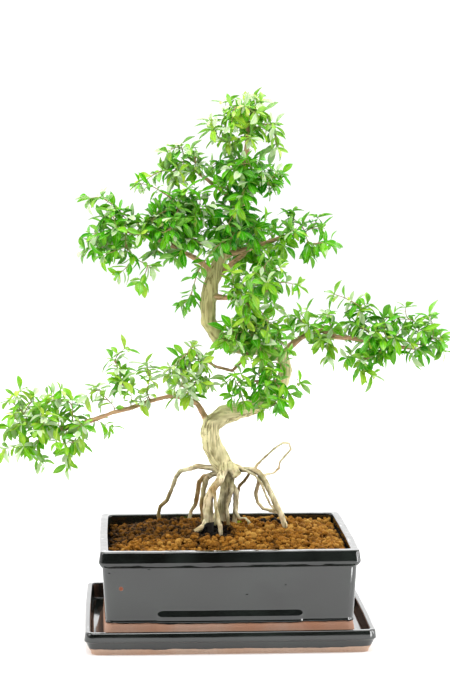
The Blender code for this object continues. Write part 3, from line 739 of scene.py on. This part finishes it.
bark, tree, shader = new_finish(
    "bark", roughness=0.82, ior=1.45, subsurface_weight=0.06, subsurface_scale=0.002,
)
place = add(tree, "TexCoord")
height = add(tree, "SeparateXYZ", {"Vector": place})
furrow, thickness, painted_shade_share = [
    add(tree, "Attribute", attribute_name=name) for name in ("furrow", "girth", "painted_shade")
]
cloud, patch, grain = [
    add(tree, "TexNoise", {"Vector": place, "Scale": scale, "Detail": detail})
    for scale, detail in ((70.0, 4.0), (30.0, 3.0), (700.0, 3.0))
]
low_wood, high_wood, algae_high = [
    add(tree, "MapRange", {"Value": height, "From Min": low, "From Max": high})
    for low, high in SOIL_TOP + np.array(((0.1, 0.112), (0.12, 0.24), (0.16, 0.1)))
]
slim, stout = [
    add(tree, "MapRange", {"Value": thickness, "From Min": low, "From Max": high})
    for low, high in ((12.0, 6.5), (11.5, 15.0))
]
patchy = add(tree, "MapRange", {"Value": patch, "From Min": 0.42, "From Max": 0.62})
root = add(tree, "Mix", {"Factor": patchy, 6: ROOT_CREAM, 7: ROOT_BROWN})
stem = add(tree, "Mix", {"Factor": high_wood, 6: BARK_RIDGE, 7: BARK_UPPER})
stem = add(tree, "Mix", {"Factor": slim, 6: stem, 7: TWIG_BROWN})
not_root = add(tree, "Math", {0: low_wood, 1: stout}, operation="MAXIMUM")
algae = add(tree, "MapRange", {"Value": cloud, "From Min": 0.44, "From Max": 0.68, "To Max": 0.5})
algae = add(tree, "Math", {0: algae, 1: algae_high}, operation="MULTIPLY")
dirt = add(tree, "MapRange", {"Value": furrow, "From Min": 0.38, "From Max": 0.82, "To Max": 0.8})
# Painted shade from the rays' count: dark olive between and under the roots.
shade_cover = add(tree, "MapRange", {
    "Value": painted_shade_share, "From Min": 0.1, "From Max": 0.5, "To Max": 0.93,
})
ragged = add(tree, "Math", {0: cloud, 1: 0.02, 2: height}, operation="MULTIPLY_ADD")
damp = add(tree, "MapRange", {
    "Value": ragged, "From Min": SOIL_TOP + 0.012, "From Max": SOIL_TOP + 0.001, "To Max": 0.7,
})
# Black round the front root's foot: soil on the wood, and painted shade of the hollow under the
# root.
soil_and_shade = spotted(tree, place, cloud, [((-18, -12, SOIL_TOP / MM + 1), 9.5)])
body = root
for cover, layer in (
    (not_root, stem), (algae, ALGAE_GREEN), (dirt, BARK_FURROW), (shade_cover, PAINTED_SHADE_OLIVE),
    (damp, DAMP_BROWN), (soil_and_shade, SOIL_AND_SHADE_BLACK),
):
    body = add(tree, "Mix", {"Factor": cover, 6: body, 7: layer})
relief_height = add(tree, "Math", {0: grain, 1: 0.6, 2: cloud}, operation="MULTIPLY_ADD")
bump = add(tree, "Bump", {"Height": relief_height, "Strength": 0.4, "Distance": 0.4 * MM})
feed(shader, {"Base Color": body, "Normal": bump})

wood_mesh.materials.clear()
wood_mesh.materials.append(bark)
wood_mesh.shade_smooth()
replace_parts(riding("wood", wood_mesh), "tree_wood")

# %% [markdown]
# ## Soil
#
# Akadama is a clay that is dug, baked and sieved into grains of a few millimetres. The grains are
# lumpy, orange brown where dry and dark where wet. Under them lies a plain dark bed of the packed
# shape. The grains are a dozen different lumps, each one a ball pushed about by noise, that are
# poured on the bed in two layers: one that covers it, and a looser one of bigger grains.

# %% Copies of one master
TINT_LAYER = "tint"


def master_mesh(bm, name, material):
    """A small shape to be copied many times, with a tint that each copy sets."""
    mesh = mesh_of(bm, name, material)
    mesh.attributes.new(TINT_LAYER, "FLOAT", "POINT")
    return mesh


def stamp(bm, master, place, tint):
    """Add a copy of the master to the bmesh, at a place and with its own tint."""
    copy = master.copy()
    copy.transform(place)
    copy.attributes[TINT_LAYER].data.foreach_set("value", [tint] * len(copy.vertices))
    bm.from_mesh(copy)
    bpy.data.meshes.remove(copy)


# %% Akadama finish
GRAIN_DRY = colour("#b58a42")
GRAIN_ORANGE = colour("#855617")
GRAIN_WET = colour("#412a0c")
GRAIN_BLACK = colour("#0d0804")
MOSS_GREEN = colour("#8d9a26")

akadama, tree, shader = new_finish("akadama_clay", roughness=0.9, ior=1.2)
tint = add(tree, "Attribute", attribute_name=TINT_LAYER)
place = add(tree, "TexCoord")
mottle = add(tree, "TexNoise", {"Vector": place, "Scale": 420.0, "Detail": 4.0})
shift = add(tree, "MapRange", {
    "Value": mottle, "From Min": 0.3, "From Max": 0.7, "To Min": -0.16, "To Max": 0.16,
})
shade = add(tree, "Math", {0: tint, 1: shift}, operation="ADD")
# The blackest grains, mostly in the hollows by the roots, carry painted shade on top of damp soil.
out_of_black, moist, dry = [
    add(tree, "MapRange", {"Value": shade, "From Min": low, "From Max": high})
    for low, high in ((0.1, 0.28), (0.25, 0.6), (0.6, 1.0))
]
moss = add(tree, "MapRange", {"Value": tint, "From Min": -0.4, "From Max": -0.6})
body = GRAIN_BLACK
for cover, layer in (
    (out_of_black, GRAIN_WET), (moist, GRAIN_ORANGE), (dry, GRAIN_DRY), (moss, MOSS_GREEN),
):
    body = add(tree, "Mix", {"Factor": cover, 6: body, 7: layer})
bump = add(tree, "Bump", {"Height": mottle, "Strength": 0.7, "Distance": 0.5 * MM})
feed(shader, {"Base Color": body, "Normal": bump})

# %% Soil bed
soil_tree = BVHTree.FromBMesh(node_copy("soil"))
soil_low, soil_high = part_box("soil")
BED_BELOW = 6 * MM
SOIL_UPPER = POT_FLOOR + 40 * MM


def soil_level(x, y):
    """The height of the packed soil there, or None outside the pot."""
    hit = soil_tree.ray_cast(Vector((x, y, soil_high.z + 10 * MM)), Vector((0, 0, -1)))
    return hit[0].z if hit[0] else None


bm = node_copy("soil")
upper = [vert for vert in bm.verts if vert.co.z > SOIL_UPPER]
bmesh.ops.translate(bm, verts=upper, vec=(0, 0, -BED_BELOW))
bmesh.ops.triangulate(bm, faces=bm.faces[:])
bed = piece_from(bm, "soil_bed", akadama)
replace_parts(bed, "soil")

# %% Grains
GRAIN_SIZES = (3.2 * MM, 7.6 * MM)
GRAIN_USUAL = 5.2 * MM
GRAIN_SPACING = 4.9 * MM
BIG_GRAINS = 430
# Rows of grains stand closer than the grains in a row, as balls in a box do.
ROW_SPACING = GRAIN_SPACING * 0.87
GRAIN_SCATTER = 0.8 * MM
GRAIN_KINDS = 12
MOSS_CHANCE = 0.55
MOSS_TINT = -1
WALL_DIP = 4.6 * MM
# Each hollow: its place, its reach and its depth, and each mossy spot: its place and its reach. The
# grains in a hollow sink and turn black: damp soil, and painted shade under the roots.
HOLLOWS = [
    ((-14, -24), 21, 7), ((-14, 0), 15, 4), ((60, 38), 19, 4), ((17, 50), 14, 3), ((33, 50), 10, 3),
]
MOSS_SPOTS = [((-42, 83), 9), ((1, 34), 7), ((-27, 2), 6), ((20, 30), 6)]
luck = random.Random(5)


def grain_master(number):
    """A lump about one unit wide, a little flatter than long."""
    bm = bmesh.new()
    bmesh.ops.create_icosphere(bm, subdivisions=2, radius=0.5)
    offset = Vector((number * 3.1, number * 1.7, 0))
    for vert in bm.verts:
        way = vert.co.normalized()
        vert.co *= 1 + 0.5 * noise.noise(way * 1.1 + offset) + 0.3 * noise.noise(way * 2.6 + offset)
    bmesh.ops.scale(bm, verts=bm.verts[:], vec=(1.12, 0.95, 0.8))
    return master_mesh(bm, f"grain_{number}", akadama)


def damp_and_shade(x, y):
    """From 1, dry, to 0, black: damp on the left, and black in the hollows by the roots, where the
    damp soil's dark is deepened by painted shade.
    """
    dry = 0.62 + 0.26 * noise.noise(Vector((x, y, 0)) / (22 * MM))
    to_left = min(max((30 * MM - x) / (90 * MM), 0), 1)
    to_back = min(max((y + 70 * MM) / (60 * MM), 0), 1)
    dry -= 0.3 * to_left * to_back
    # Painted shade in the hollows under the roots, over the damp soil's own darker colour.
    for (near_x, near_y), reach, _ in HOLLOWS:
        away = math.hypot(x - near_x * MM, y - near_y * MM) / (reach * MM)
        dry -= 1.1 * min(max(0, 1.3 - away), 0.6)
    return max(dry, 0.02)


def sunk(x, y):
    """How far the grains dip in a hollow and along the back and end walls."""
    in_hollows = sum(
        depth * MM * max(0, 1 - math.hypot(x - near_x * MM, y - near_y * MM) / (reach * MM))
        for (near_x, near_y), reach, depth in HOLLOWS
    )
    to_wall = min(x - soil_low.x, soil_high.x - x, soil_high.y - y)
    to_corner = math.hypot(soil_high.x - x, soil_high.y - y)
    in_corner = 2.6 * MM * min(1, max(0, 1.5 - to_corner / (75 * MM)))
    return in_hollows + in_corner + WALL_DIP * max(0, 1 - to_wall / (32 * MM))


def grain_place(x, y, size, lift):
    """A grain of this size, turned any way, on the soil and lifted or sunk a little."""
    angle = luck.uniform(0, 6.28)
    axis = Vector((luck.gauss(0, 1), luck.gauss(0, 1), luck.gauss(0, 1)))
    turn = Matrix.Rotation(angle, 4, axis)
    spot = Vector((x, y, soil_level(x, y) - sunk(x, y) + lift))
    return Matrix.Translation(spot) @ turn @ Matrix.Scale(size, 4)


grain_masters = [grain_master(number) for number in range(GRAIN_KINDS)]
columns = int((soil_high.x - soil_low.x) / GRAIN_SPACING)
rows = int((soil_high.y - soil_low.y) / ROW_SPACING)
spots = []
for row in range(rows):
    for column in range(columns):
        x = soil_low.x + (column + 0.5 + 0.5 * (row % 2)) * GRAIN_SPACING
        y = soil_low.y + (row + 0.5) * ROW_SPACING
        x, y = x + luck.gauss(0, GRAIN_SCATTER), y + luck.gauss(0, GRAIN_SCATTER)
        spots.append((x, y, luck.triangular(*GRAIN_SIZES, GRAIN_USUAL), luck.gauss(-0.9, 0.8) * MM))
for number in range(BIG_GRAINS):
    x = luck.uniform(soil_low.x, soil_high.x)
    y = luck.uniform(soil_low.y, soil_high.y)
    spots.append((x, y, luck.uniform(4.8, 8.2) * MM, luck.uniform(0.9, 2.4) * MM))
spots = [
    spot for spot in spots
    if soil_low.x + spot[2] / 2 < spot[0] < soil_high.x - spot[2] / 2
    and soil_low.y + spot[2] / 2 < spot[1] < soil_high.y - spot[2] / 2
    and (soil_level(spot[0], spot[1]) or 0) > soil_high.z - 25 * MM
]
halves = {"soil_grains_left": bmesh.new(), "soil_grains_right": bmesh.new()}
for x, y, size, lift in spots:
    half = halves["soil_grains_left" if x < 0 else "soil_grains_right"]
    tint = damp_and_shade(x, y) * (luck.uniform(0.6, 1.25) + 110 * lift)
    mossy = any(math.hypot(x / MM - a, y / MM - b) < reach for (a, b), reach in MOSS_SPOTS)
    if mossy and luck.random() < MOSS_CHANCE:
        tint = MOSS_TINT
    stamp(half, luck.choice(grain_masters), grain_place(x, y, size, lift), tint)
for name, bm in halves.items():
    piece_from(bm, name, akadama, 70)
print(len(spots), "grains")

# %% [markdown]
# ## Leaves: one leaf
#
# The leaves are small, thin and leathery, pointed at both ends, folded a little along the midrib
# and arched towards the tip. Each is cut from a flat sheet that is given its thickness first and
# its shape after, so that every point knows how far along and across the leaf it lies. Five
# leaves of different fold and arch serve for the whole tree.

# %% Leaf finish
LEAF_DEEP = colour("#0d7c00")
LEAF_GREEN = colour("#55a900")
LEAF_BRIGHT = colour("#a5c43a")
LEAF_YOUNG = colour("#cfe495")
LEAF_RIB = colour("#a6cf74")
LEAF_UNDER = colour("#86b552")
# A pale grey green that stands for a painted sheen: the white room's glare on the leaves.
LEAF_PAINTED_SHEEN = colour("#b9cca8")

leaf_finish, tree, shader = new_finish(
    "leaf", ior=1.46, subsurface_weight=0.2, subsurface_scale=0.0012,
)
shader.inputs["Subsurface Radius"].default_value = (0.5, 1.0, 0.2)
tint, across, reach, under = [
    add(tree, "Attribute", attribute_name=name) for name in (TINT_LAYER, "across", "reach", "under")
]
place = add(tree, "TexCoord")
fleck = add(tree, "TexNoise", {"Vector": place, "Scale": 160.0, "Detail": 3.0})
shift = add(tree, "MapRange", {
    "Value": fleck, "From Min": 0.3, "From Max": 0.7, "To Min": -0.1, "To Max": 0.1,
})
# The tint holds the leaf's age and, through its place in the pad, painted light outside and painted
# shade inside.
age_and_light = add(tree, "Math", {0: tint, 1: shift}, operation="ADD")
grown, fresh, newest = [
    add(tree, "MapRange", {"Value": age_and_light, "From Min": low, "From Max": high})
    for low, high in ((0.0, 0.35), (0.35, 0.7), (0.7, 1.0))
]
# Painted sheen: the pale glare on some outer leaves.
painted_sheen = add(tree, "MapRange", {"Value": tint, "From Min": 1.05, "From Max": 1.2, "To Max": 0.85})
aside = add(tree, "Math", {0: across}, operation="ABSOLUTE")
rib = add(tree, "MapRange", {"Value": aside, "From Min": 0.16, "From Max": 0.03, "To Max": 0.55})
slant = add(tree, "Math", {0: aside, 1: -6.0}, operation="MULTIPLY")
veins = add(tree, "Math", {0: reach, 1: 52.0, 2: slant}, operation="MULTIPLY_ADD")
veins = add(tree, "Math", {0: veins}, operation="SINE")
vein = add(tree, "MapRange", {"Value": veins, "From Min": 0.75, "From Max": 1.0, "To Max": 0.16})
rib = add(tree, "Math", {0: rib, 1: vein}, operation="MAXIMUM")
pale = add(tree, "Math", {0: under, 1: 0.6}, operation="MULTIPLY")
body = LEAF_DEEP
for cover, shade in (
    (grown, LEAF_GREEN), (fresh, LEAF_BRIGHT), (newest, LEAF_YOUNG), (painted_sheen, LEAF_PAINTED_SHEEN),
    (rib, LEAF_RIB), (pale, LEAF_UNDER),
):
    body = add(tree, "Mix", {"Factor": cover, 6: body, 7: shade})
gloss = add(tree, "Mix", {"Factor": under, 2: 0.34, 3: 0.6}, 0, data_type="FLOAT")
waxy = add(tree, "TexNoise", {"Vector": place, "Scale": 55.0, "Detail": 1.0})
shine = add(tree, "MapRange", {
    "Value": waxy, "From Min": 0.5, "From Max": 0.68, "To Min": 0.05, "To Max": 0.8,
})
ridges = add(tree, "Math", {0: rib, 1: fleck}, operation="ADD")
bump = add(tree, "Bump", {"Height": ridges, "Strength": 0.3, "Distance": 0.15 * MM})
feed(shader, {"Base Color": body, "Roughness": gloss, "Specular IOR Level": shine, "Normal": bump})

# %% Leaf masters
LEAF_THICKNESS = 0.016
PETIOLE = 0.09
LEAF_KINDS = 5


def leaf_master(number):
    """A leaf of unit length along +Y that faces +Z."""
    bm = bmesh.new()
    bmesh.ops.create_grid(bm, x_segments=4, y_segments=6, size=0.5)
    bmesh.ops.solidify(bm, geom=bm.faces[:], thickness=LEAF_THICKNESS)
    bmesh.ops.recalc_face_normals(bm, faces=bm.faces[:])
    middle = sum(vert.co.z for vert in bm.verts) / len(bm.verts)
    layers = {name: bm.verts.layers.float.new(name) for name in ("across", "reach", "under")}
    half_width = (0.165, 0.18, 0.145, 0.195, 0.17)[number]
    arch = (0.10, 0.22, 0.34, 0.05, 0.16)[number]
    fold = (0.35, 0.5, 0.25, 0.6, 0.42)[number]
    sway = (0.03, -0.05, 0.06, -0.02, 0.0)[number]
    for vert in bm.verts:
        across, reach = vert.co.x * 2, vert.co.y + 0.5
        vert[layers["across"]] = across
        vert[layers["reach"]] = reach
        vert[layers["under"]] = float(vert.co.z < middle)
        blade = min(max((reach - PETIOLE) / (1 - PETIOLE), 0), 1)
        width = 0.022 * (1 - blade) + half_width * max(math.sin(math.pi * blade ** 1.12), 0) ** 0.8
        ripple = 0.012 * math.sin(9 * reach + number) * abs(across)
        x = across * width + sway * math.sin(math.pi * reach)
        z = vert.co.z + fold * abs(across) * width - arch * reach ** 2 + ripple
        vert.co = (x, reach * (1 - 0.25 * arch), z)
    return master_mesh(bm, f"leaf_{number}", leaf_finish)


leaf_masters = [leaf_master(number) for number in range(LEAF_KINDS)]
print("leaf", len(leaf_masters[0].polygons), "faces")

# %% [markdown]
# ## Leaves: growth
#
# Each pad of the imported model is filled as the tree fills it. Growing tips are spread over the
# pad's space. Each tip is reached by a shoot from the nearest point of wood or of an older shoot,
# and the shoot bends from its mother's direction into its own. Leaves stand on it in pairs, each
# pair turned a quarter from the last, smaller and paler towards the tip, where a tuft of young
# ones ends the shoot. Leaves tip over to turn their faces to the light.

# %% Shoots
SHOOT_STEP = 3 * MM
TIP_AREA = 172 * MM * MM
LEAF_STEP = (5.8 * MM, 8.2 * MM)
LEAF_SIZES = (12 * MM, 25 * MM)
LEAF_USUAL = 16.5 * MM
YOUNG_SIZES = (7 * MM, 13 * MM)
# For the pads that differ: how many leaves get a pale painted sheen, how full the pad is, and how
# much brighter than usual.
SHEEN_SHARES = {
    "foliage_left_tip": 0.34, "foliage_left_inner": 0.2, "foliage_upper_left": 0.6,
    "foliage_crown": 0.38, "foliage_lower_left": 0.6, "foliage_lower_inner": 0.65,
    "foliage_lower_left_tip": 0.32, "foliage_right_tip": 0.24, "foliage_right_inner": 0.2,
    "foliage_heart": 0.08,
}
FULLNESS = {
    "foliage_lower_left": 0.34, "foliage_upper_right": 0.3, "foliage_upper_left": 0.5,
    "foliage_centre": 0.72, "foliage_right_inner": 0.58, "foliage_right_tip": 0.6,
    "foliage_lower_front": 0.62, "foliage_lower_left_tip": 0.74, "foliage_left_tip": 0.9,
    "foliage_left_inner": 2.1, "foliage_heart": 1.5, "foliage_lower_inner": 0.85,
    "foliage_upper_centre": 1.05, "foliage_below_centre": 1.6,
}
# Leaves missing from their pairs, as a share of all, and how many leaves end a shoot.
MISSING_LEAVES = 0.07
TUFT_SIZES = (5, 6, 7)
TUFT_GROWN = 4
USUAL_SHEEN_SHARE = 0.14
# The tint that gives a leaf the painted sheen.
PAINTED_SHEEN_TINT = 1.3
BRIGHTEST_TINT = 0.92
BRIGHTER = {
    "foliage_heart": -0.2, "foliage_left_inner": -0.15, "foliage_upper_centre": -0.12,
    "foliage_crown": 0.2, "foliage_lower_left": 0.2, "foliage_lower_inner": 0.2,
    "foliage_lower_left_tip": 0.15, "foliage_upper_left": 0.15, "foliage_centre": 0.08,
    "foliage_right_inner": 0.1,
}
PAD_REACH = 0.93
LEAF_REACH = 8 * MM
wood_verts = [vert.co.copy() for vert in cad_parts["tree_wood"].data.vertices]
growth = random.Random(23)
UP = Vector((0, 0, 1))


def any_way():
    """A random direction, all ways equally likely."""
    while True:
        way = Vector([growth.uniform(-1, 1) for _ in range(3)])
        if 0.05 < way.length < 1:
            return way.normalized()


def spread_tips(centre, half, count):
    """Tips over and in an ellipsoid, kept apart from each other."""
    tips = []
    apart = 1.15 * math.sqrt(TIP_AREA)
    while len(tips) < count:
        way = any_way()
        depth = growth.choice((1.0, 0.95, 0.85, 0.68, 0.4))
        tip = centre + Vector([w * h for w, h in zip(way, half)]) * depth
        if way.z > -0.85 and all((tip - other).length > apart for other in tips):
            tips.append(tip)
        apart *= 0.995
    return tips


def shoot_points(start, way, tip):
    """A shoot's line from its start, bending from the mother's way to the tip."""
    span = (tip - start).length
    knee = start + way * span * 0.4 + UP * span * 0.06
    steps = max(3, round(span / SHOOT_STEP))
    line = []
    for step in range(steps + 1):
        share = step / steps
        point = start.lerp(knee, share).lerp(knee.lerp(tip, share), share)
        sway = noise.noise_vector(point / (17 * MM)) * 1.3 * MM * math.sin(math.pi * share)
        line.append(point + sway)
    return line


def grow_pad(centre, half, extra_tips, fullness):
    """All the shoots of one pad, as lists of points."""
    inside = [
        co for co in wood_verts
        if sum(((a - b) / (h * 1.1)) ** 2 for a, b, h in zip(co, centre, half)) < 1
    ]
    nearest = min(wood_verts, key=lambda co: (co - centre).length)
    roots = growth.sample(inside, min(len(inside), 14)) or [nearest]
    joints = [(root, (centre - root + UP * 5 * MM).normalized()) for root in roots]
    count = round(fullness * math.pi * half.x * half.z / TIP_AREA)
    tips = spread_tips(centre, half * PAD_REACH, count) + extra_tips
    tips.sort(key=lambda tip: min((tip - spot).length for spot, _ in joints))
    shoots = []
    for tip in tips:
        def cost(joint):
            gap = tip - joint[0]
            turn = 1 - gap.normalized().dot(joint[1])
            return max(gap.length, 12 * MM) * (1 + 0.35 * turn)
        start, way = min(joints, key=cost)
        line = shoot_points(start, way, tip)
        shoots.append(line)
        for index in range(max(1, len(line) // 3), len(line) - 2):
            joints.append((line[index], (line[index + 1] - line[index - 1]).normalized()))
    return shoots


# %% Leaves on a shoot


def leaf_place(spot, way, facing, size):
    """Stand a unit leaf at a spot, along a way, and turn its face."""
    way = way.normalized()
    up = (facing - way * facing.dot(way)).normalized()
    turn = Matrix((way.cross(up), way, up)).transposed().to_4x4()
    return Matrix.Translation(spot) @ turn @ Matrix.Scale(size, 4)


def dress(bm, line, centre, half, sheen_share, brighter):
    """Put the leaves on one shoot."""
    lengths = [0.0]
    for before, here in zip(line, line[1:]):
        lengths.append(lengths[-1] + (here - before).length)
    total = lengths[-1]

    def leaf(spot, lean, facing, size, youth):
        """One leaf, brighter the further it is from the middle of its pad: painted light on the
        outer leaves and painted shade on the inner ones.
        """
        out = Vector([(a - b) / h for a, b, h in zip(spot, centre, half)]).length
        out = min(out, 1.2)
        # The 0.3 * out term is painted light on the pad's outer leaves, and leaves the inner ones
        # in painted shade.
        tint = growth.uniform(-0.05, 0.3) + 0.3 * out + youth + brighter
        tint = min(tint, BRIGHTEST_TINT)
        # Some outer leaves get the painted sheen in place of their green.
        if growth.random() < sheen_share * out:
            tint = PAINTED_SHEEN_TINT
        stamp(bm, growth.choice(leaf_masters), leaf_place(spot, lean, facing, size), tint)

    at = max(4 * MM, total - growth.uniform(30, 55) * MM, total * 0.1)
    azimuth = growth.uniform(0, 6.28)
    while at < total - 3 * MM:
        index = max(i for i, length in enumerate(lengths) if length <= at)
        index = min(index, len(line) - 2)
        way = (line[index + 1] - line[index]).normalized()
        share = (at - lengths[index]) / (lengths[index + 1] - lengths[index])
        spot = line[index].lerp(line[index + 1], share)
        side = way.orthogonal().normalized()
        side.rotate(Matrix.Rotation(azimuth, 3, way))
        for sign in (1, -1):
            if growth.random() < MISSING_LEAVES:
                continue
            lean = way * growth.uniform(0.25, 0.7) + side * sign - UP * growth.uniform(0.0, 0.7)
            outward = (spot - centre).normalized()
            facing = UP * 0.7 + outward * 0.5 + any_way() * 0.45
            size = growth.triangular(*LEAF_SIZES, LEAF_USUAL) * (1 - 0.12 * at / total)
            leaf(spot + lean.normalized() * 0.4 * MM, lean, facing, size, 0)
        azimuth += math.pi / 2 + growth.gauss(0, 0.2)
        at += growth.uniform(*LEAF_STEP)
    way = (line[-1] - line[-2]).normalized()
    side = way.orthogonal().normalized()
    for number in range(growth.choice(TUFT_SIZES)):
        around = side.copy()
        around.rotate(Matrix.Rotation(azimuth + number * 1.45, 3, way))
        lean = way * growth.uniform(0.1, 0.9) + around - UP * growth.uniform(0.0, 0.55)
        facing = UP * 0.7 + way * 0.4 + any_way() * 0.45
        if number < TUFT_GROWN:
            leaf(line[-1], lean, facing, growth.triangular(*LEAF_SIZES, LEAF_USUAL), 0)
        else:
            size = growth.uniform(*YOUNG_SIZES)
            leaf(line[-1], lean, facing, size, growth.uniform(0.1, 0.5))


# %% [markdown]
# ## Leaves: the pads
#
# Some shoots of the real tree reach out beyond their pads: long ones at the top, on the tips of
# the branches and under them. They are given as tips, in millimetres from the tray's centre.

# %% Foliage
STRAY_TIPS = {
    "foliage_crown": [
        (23, 18, 597), (42, 20, 589), (64, 20, 537), (-25, 20, 572), (-18, 20, 550), (0, 18, 542),
        (30, 15, 550),
    ],
    "foliage_upper_centre": [
        (64, 15, 498), (57, 25, 515), (-5, 0, 500), (22, -10, 535), (14, -12, 518), (26, -10, 502),
        (18, -12, 484), (8, -10, 468), (30, -8, 520),
    ],
    "foliage_upper_left": [
        (-50, 45, 552), (-70, 40, 540), (-76, 40, 513), (-100, 32, 496), (-59, 30, 499),
        (-34, 30, 508), (-24, 25, 518), (-28, 25, 534),
    ],
    "foliage_left_tip": [
        (-140, 0, 495), (-156, 5, 491), (-158, 0, 446), (-163, 0, 426), (-117, -10, 395),
        (-91, -10, 387), (-77, -5, 404),
    ],
    "foliage_left_inner": [
        (-100, 10, 508), (-56, 0, 413), (-20, -5, 430), (-22, 0, 470), (-32, 5, 488), (-46, 5, 496),
        (-16, 0, 482), (-40, 0, 504), (-24, 0, 496),
    ],
    "foliage_heart": [(-42, 10, 367), (-51, 15, 359), (-32, 0, 404), (40, 10, 440)],
    "foliage_upper_right": [
        (111, 40, 468), (128, 35, 430), (75, 45, 476), (98, 30, 413), (116, 30, 453), (56, 25, 440),
        (68, 25, 450), (60, 20, 428),
    ],
    "foliage_back": [(52, 60, 366), (62, 60, 352), (45, 60, 380)],
    "foliage_centre": [(48, -8, 338), (42, -10, 350), (15, -15, 342), (60, 5, 336), (5, -10, 370)],
    "foliage_below_centre": [
        (-8, -15, 326), (17, -20, 306), (76, 0, 312), (42, -20, 301), (0, -20, 345),
    ],
    "foliage_right_inner": [
        (91, 45, 362), (66, 40, 352), (125, 40, 312), (108, 40, 312), (122, 35, 298),
    ],
    "foliage_right_middle": [
        (121, 45, 380), (141, 45, 371), (163, 45, 371), (152, 35, 281), (168, 35, 274),
        (135, 35, 297), (176, 40, 318), (180, 40, 298),
    ],
    "foliage_right_tip": [
        (205, 50, 365), (236, 50, 356), (256, 45, 328), (209, 40, 301), (190, 45, 350),
        (214, 45, 350),
    ],
    "foliage_lower_front": [
        (91, 0, 279), (80, -5, 264), (42, -10, 243), (66, -5, 250), (8, -15, 275),
    ],
    "foliage_lower_inner": [
        (-55, 0, 314), (-68, 0, 287), (-40, -10, 259), (-14, -15, 275), (-34, -5, 328),
        (-26, -8, 312),
    ],
    "foliage_lower_left": [
        (-113, 0, 326), (-131, 0, 314), (-82, 0, 305), (-89, -5, 253), (-142, -5, 258),
        (-150, -5, 274), (-162, -8, 264), (-126, 0, 282),
    ],
    "foliage_lower_left_tip": [
        (-234, -5, 279), (-219, -10, 268), (-247, -5, 266), (-250, -5, 231), (-252, -5, 203),
        (-173, -15, 185), (-209, -10, 186), (-122, -5, 231), (-152, -10, 231),
    ],
}
all_shoots = []
leaf_count = 0
for name in sorted(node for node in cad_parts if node.startswith("foliage_")):
    low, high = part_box(name)
    centre, half = (low + high) / 2, (high - low) / 2
    strays = [Vector(tip) * MM for tip in STRAY_TIPS[name]]
    strays = [tip + (centre - tip).normalized() * LEAF_REACH for tip in strays]
    shoots = grow_pad(centre, half, strays, FULLNESS.get(name, 1.0))
    bm = bmesh.new()
    for line in shoots:
        dress(bm, line, centre, half, SHEEN_SHARES.get(name, USUAL_SHEEN_SHARE), BRIGHTER.get(name, 0.0))
    leaf_count += len(bm.faces) // len(leaf_masters[0].polygons)
    leaves = piece_from(bm, name.replace("foliage", "leaves"), leaf_finish, 60)
    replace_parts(leaves, name)
    all_shoots += shoots
print(len(all_shoots), "shoots,", leaf_count, "leaves")

# %% Twigs
TWIG_BASE = 0.85 * MM
TWIG_TIP = 0.32 * MM
TWIG_STOUTEST = 1.3 * MM
TWIG_BARK = colour("#a98462")
TWIG_GREEN = colour("#8fa04e")
twig_finish, tree, shader = new_finish("twig_bark", roughness=0.6, ior=1.45)
place = add(tree, "TexCoord")
fleck = add(tree, "TexNoise", {"Vector": place, "Scale": 120.0, "Detail": 4.0})
green = add(tree, "MapRange", {"Value": fleck, "From Min": 0.4, "From Max": 0.62})
body = add(tree, "Mix", {"Factor": green, 6: TWIG_BARK, 7: TWIG_GREEN})
bump = add(tree, "Bump", {"Height": fleck, "Strength": 0.4, "Distance": 0.2 * MM})
feed(shader, {"Base Color": body, "Normal": bump})

curve = bpy.data.curves.new("twigs", "CURVE")
curve.dimensions = "3D"
curve.bevel_depth = 1
curve.bevel_resolution = 1
curve.use_fill_caps = True
for line in all_shoots:
    spline = curve.splines.new("POLY")
    spline.points.add(len(line) - 1)
    length = len(line) * SHOOT_STEP
    base = min(TWIG_BASE * (0.6 + length / (70 * MM)), TWIG_STOUTEST)
    for index, point in enumerate(line):
        spline.points[index].co = (*point, 1)
        spline.points[index].radius = base + (TWIG_TIP - base) * index / (len(line) - 1)
bm = bmesh.new()
bm.from_mesh(baked_out(shown("twigs_line", curve)))
bmesh.ops.remove_doubles(bm, verts=bm.verts[:], dist=0.01 * MM)
bmesh.ops.recalc_face_normals(bm, faces=bm.faces[:])
piece_from(bm, "twigs", twig_finish, 70)

# %% [markdown]
# ## Drain meshes and their clips
#
# A square of moulded plastic net lies over each drain hole, inside the pot. An aluminium wire goes
# through the hole and holds it. The soil hides both, but the drain holes show them from below.

# %% Net and wire
NET_BLACK = colour("#0f1210")
NET_DUST = colour("#3b342a")
WIRE_PALE = colour("#a9a6a0")
WIRE_GREY = colour("#77706a")

net_finish, tree, shader = new_finish("net_plastic", roughness=0.5, ior=1.5)
place = add(tree, "TexCoord")
dust = add(tree, "TexNoise", {"Vector": place, "Scale": 260.0, "Detail": 4.0})
body = add(tree, "Mix", {"Factor": dust, 6: NET_BLACK, 7: NET_DUST})
bump = add(tree, "Bump", {"Height": dust, "Strength": 0.4, "Distance": 0.2 * MM})
feed(shader, {"Base Color": body, "Normal": bump})

wire_finish, tree, shader = new_finish("clip_aluminium", metallic=1.0)
place = add(tree, "TexCoord")
scuff = add(tree, "TexNoise", {"Vector": place, "Scale": 400.0, "Detail": 3.0})
body = add(tree, "Mix", {"Factor": scuff, 6: WIRE_PALE, 7: WIRE_GREY})
rough = add(tree, "MapRange", {"Value": scuff, "To Min": 0.3, "To Max": 0.6})
bump = add(tree, "Bump", {"Height": scuff, "Strength": 0.3, "Distance": 0.1 * MM})
feed(shader, {"Base Color": body, "Roughness": rough, "Normal": bump})

for side in ("left", "right"):
    net = piece_from(node_copy(f"drain_mesh_{side}"), f"net_{side}", net_finish)
    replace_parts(net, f"drain_mesh_{side}")
    wire = piece_from(node_copy(f"mesh_clip_{side}"), f"wire_{side}", wire_finish, 60)
    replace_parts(wire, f"mesh_clip_{side}")
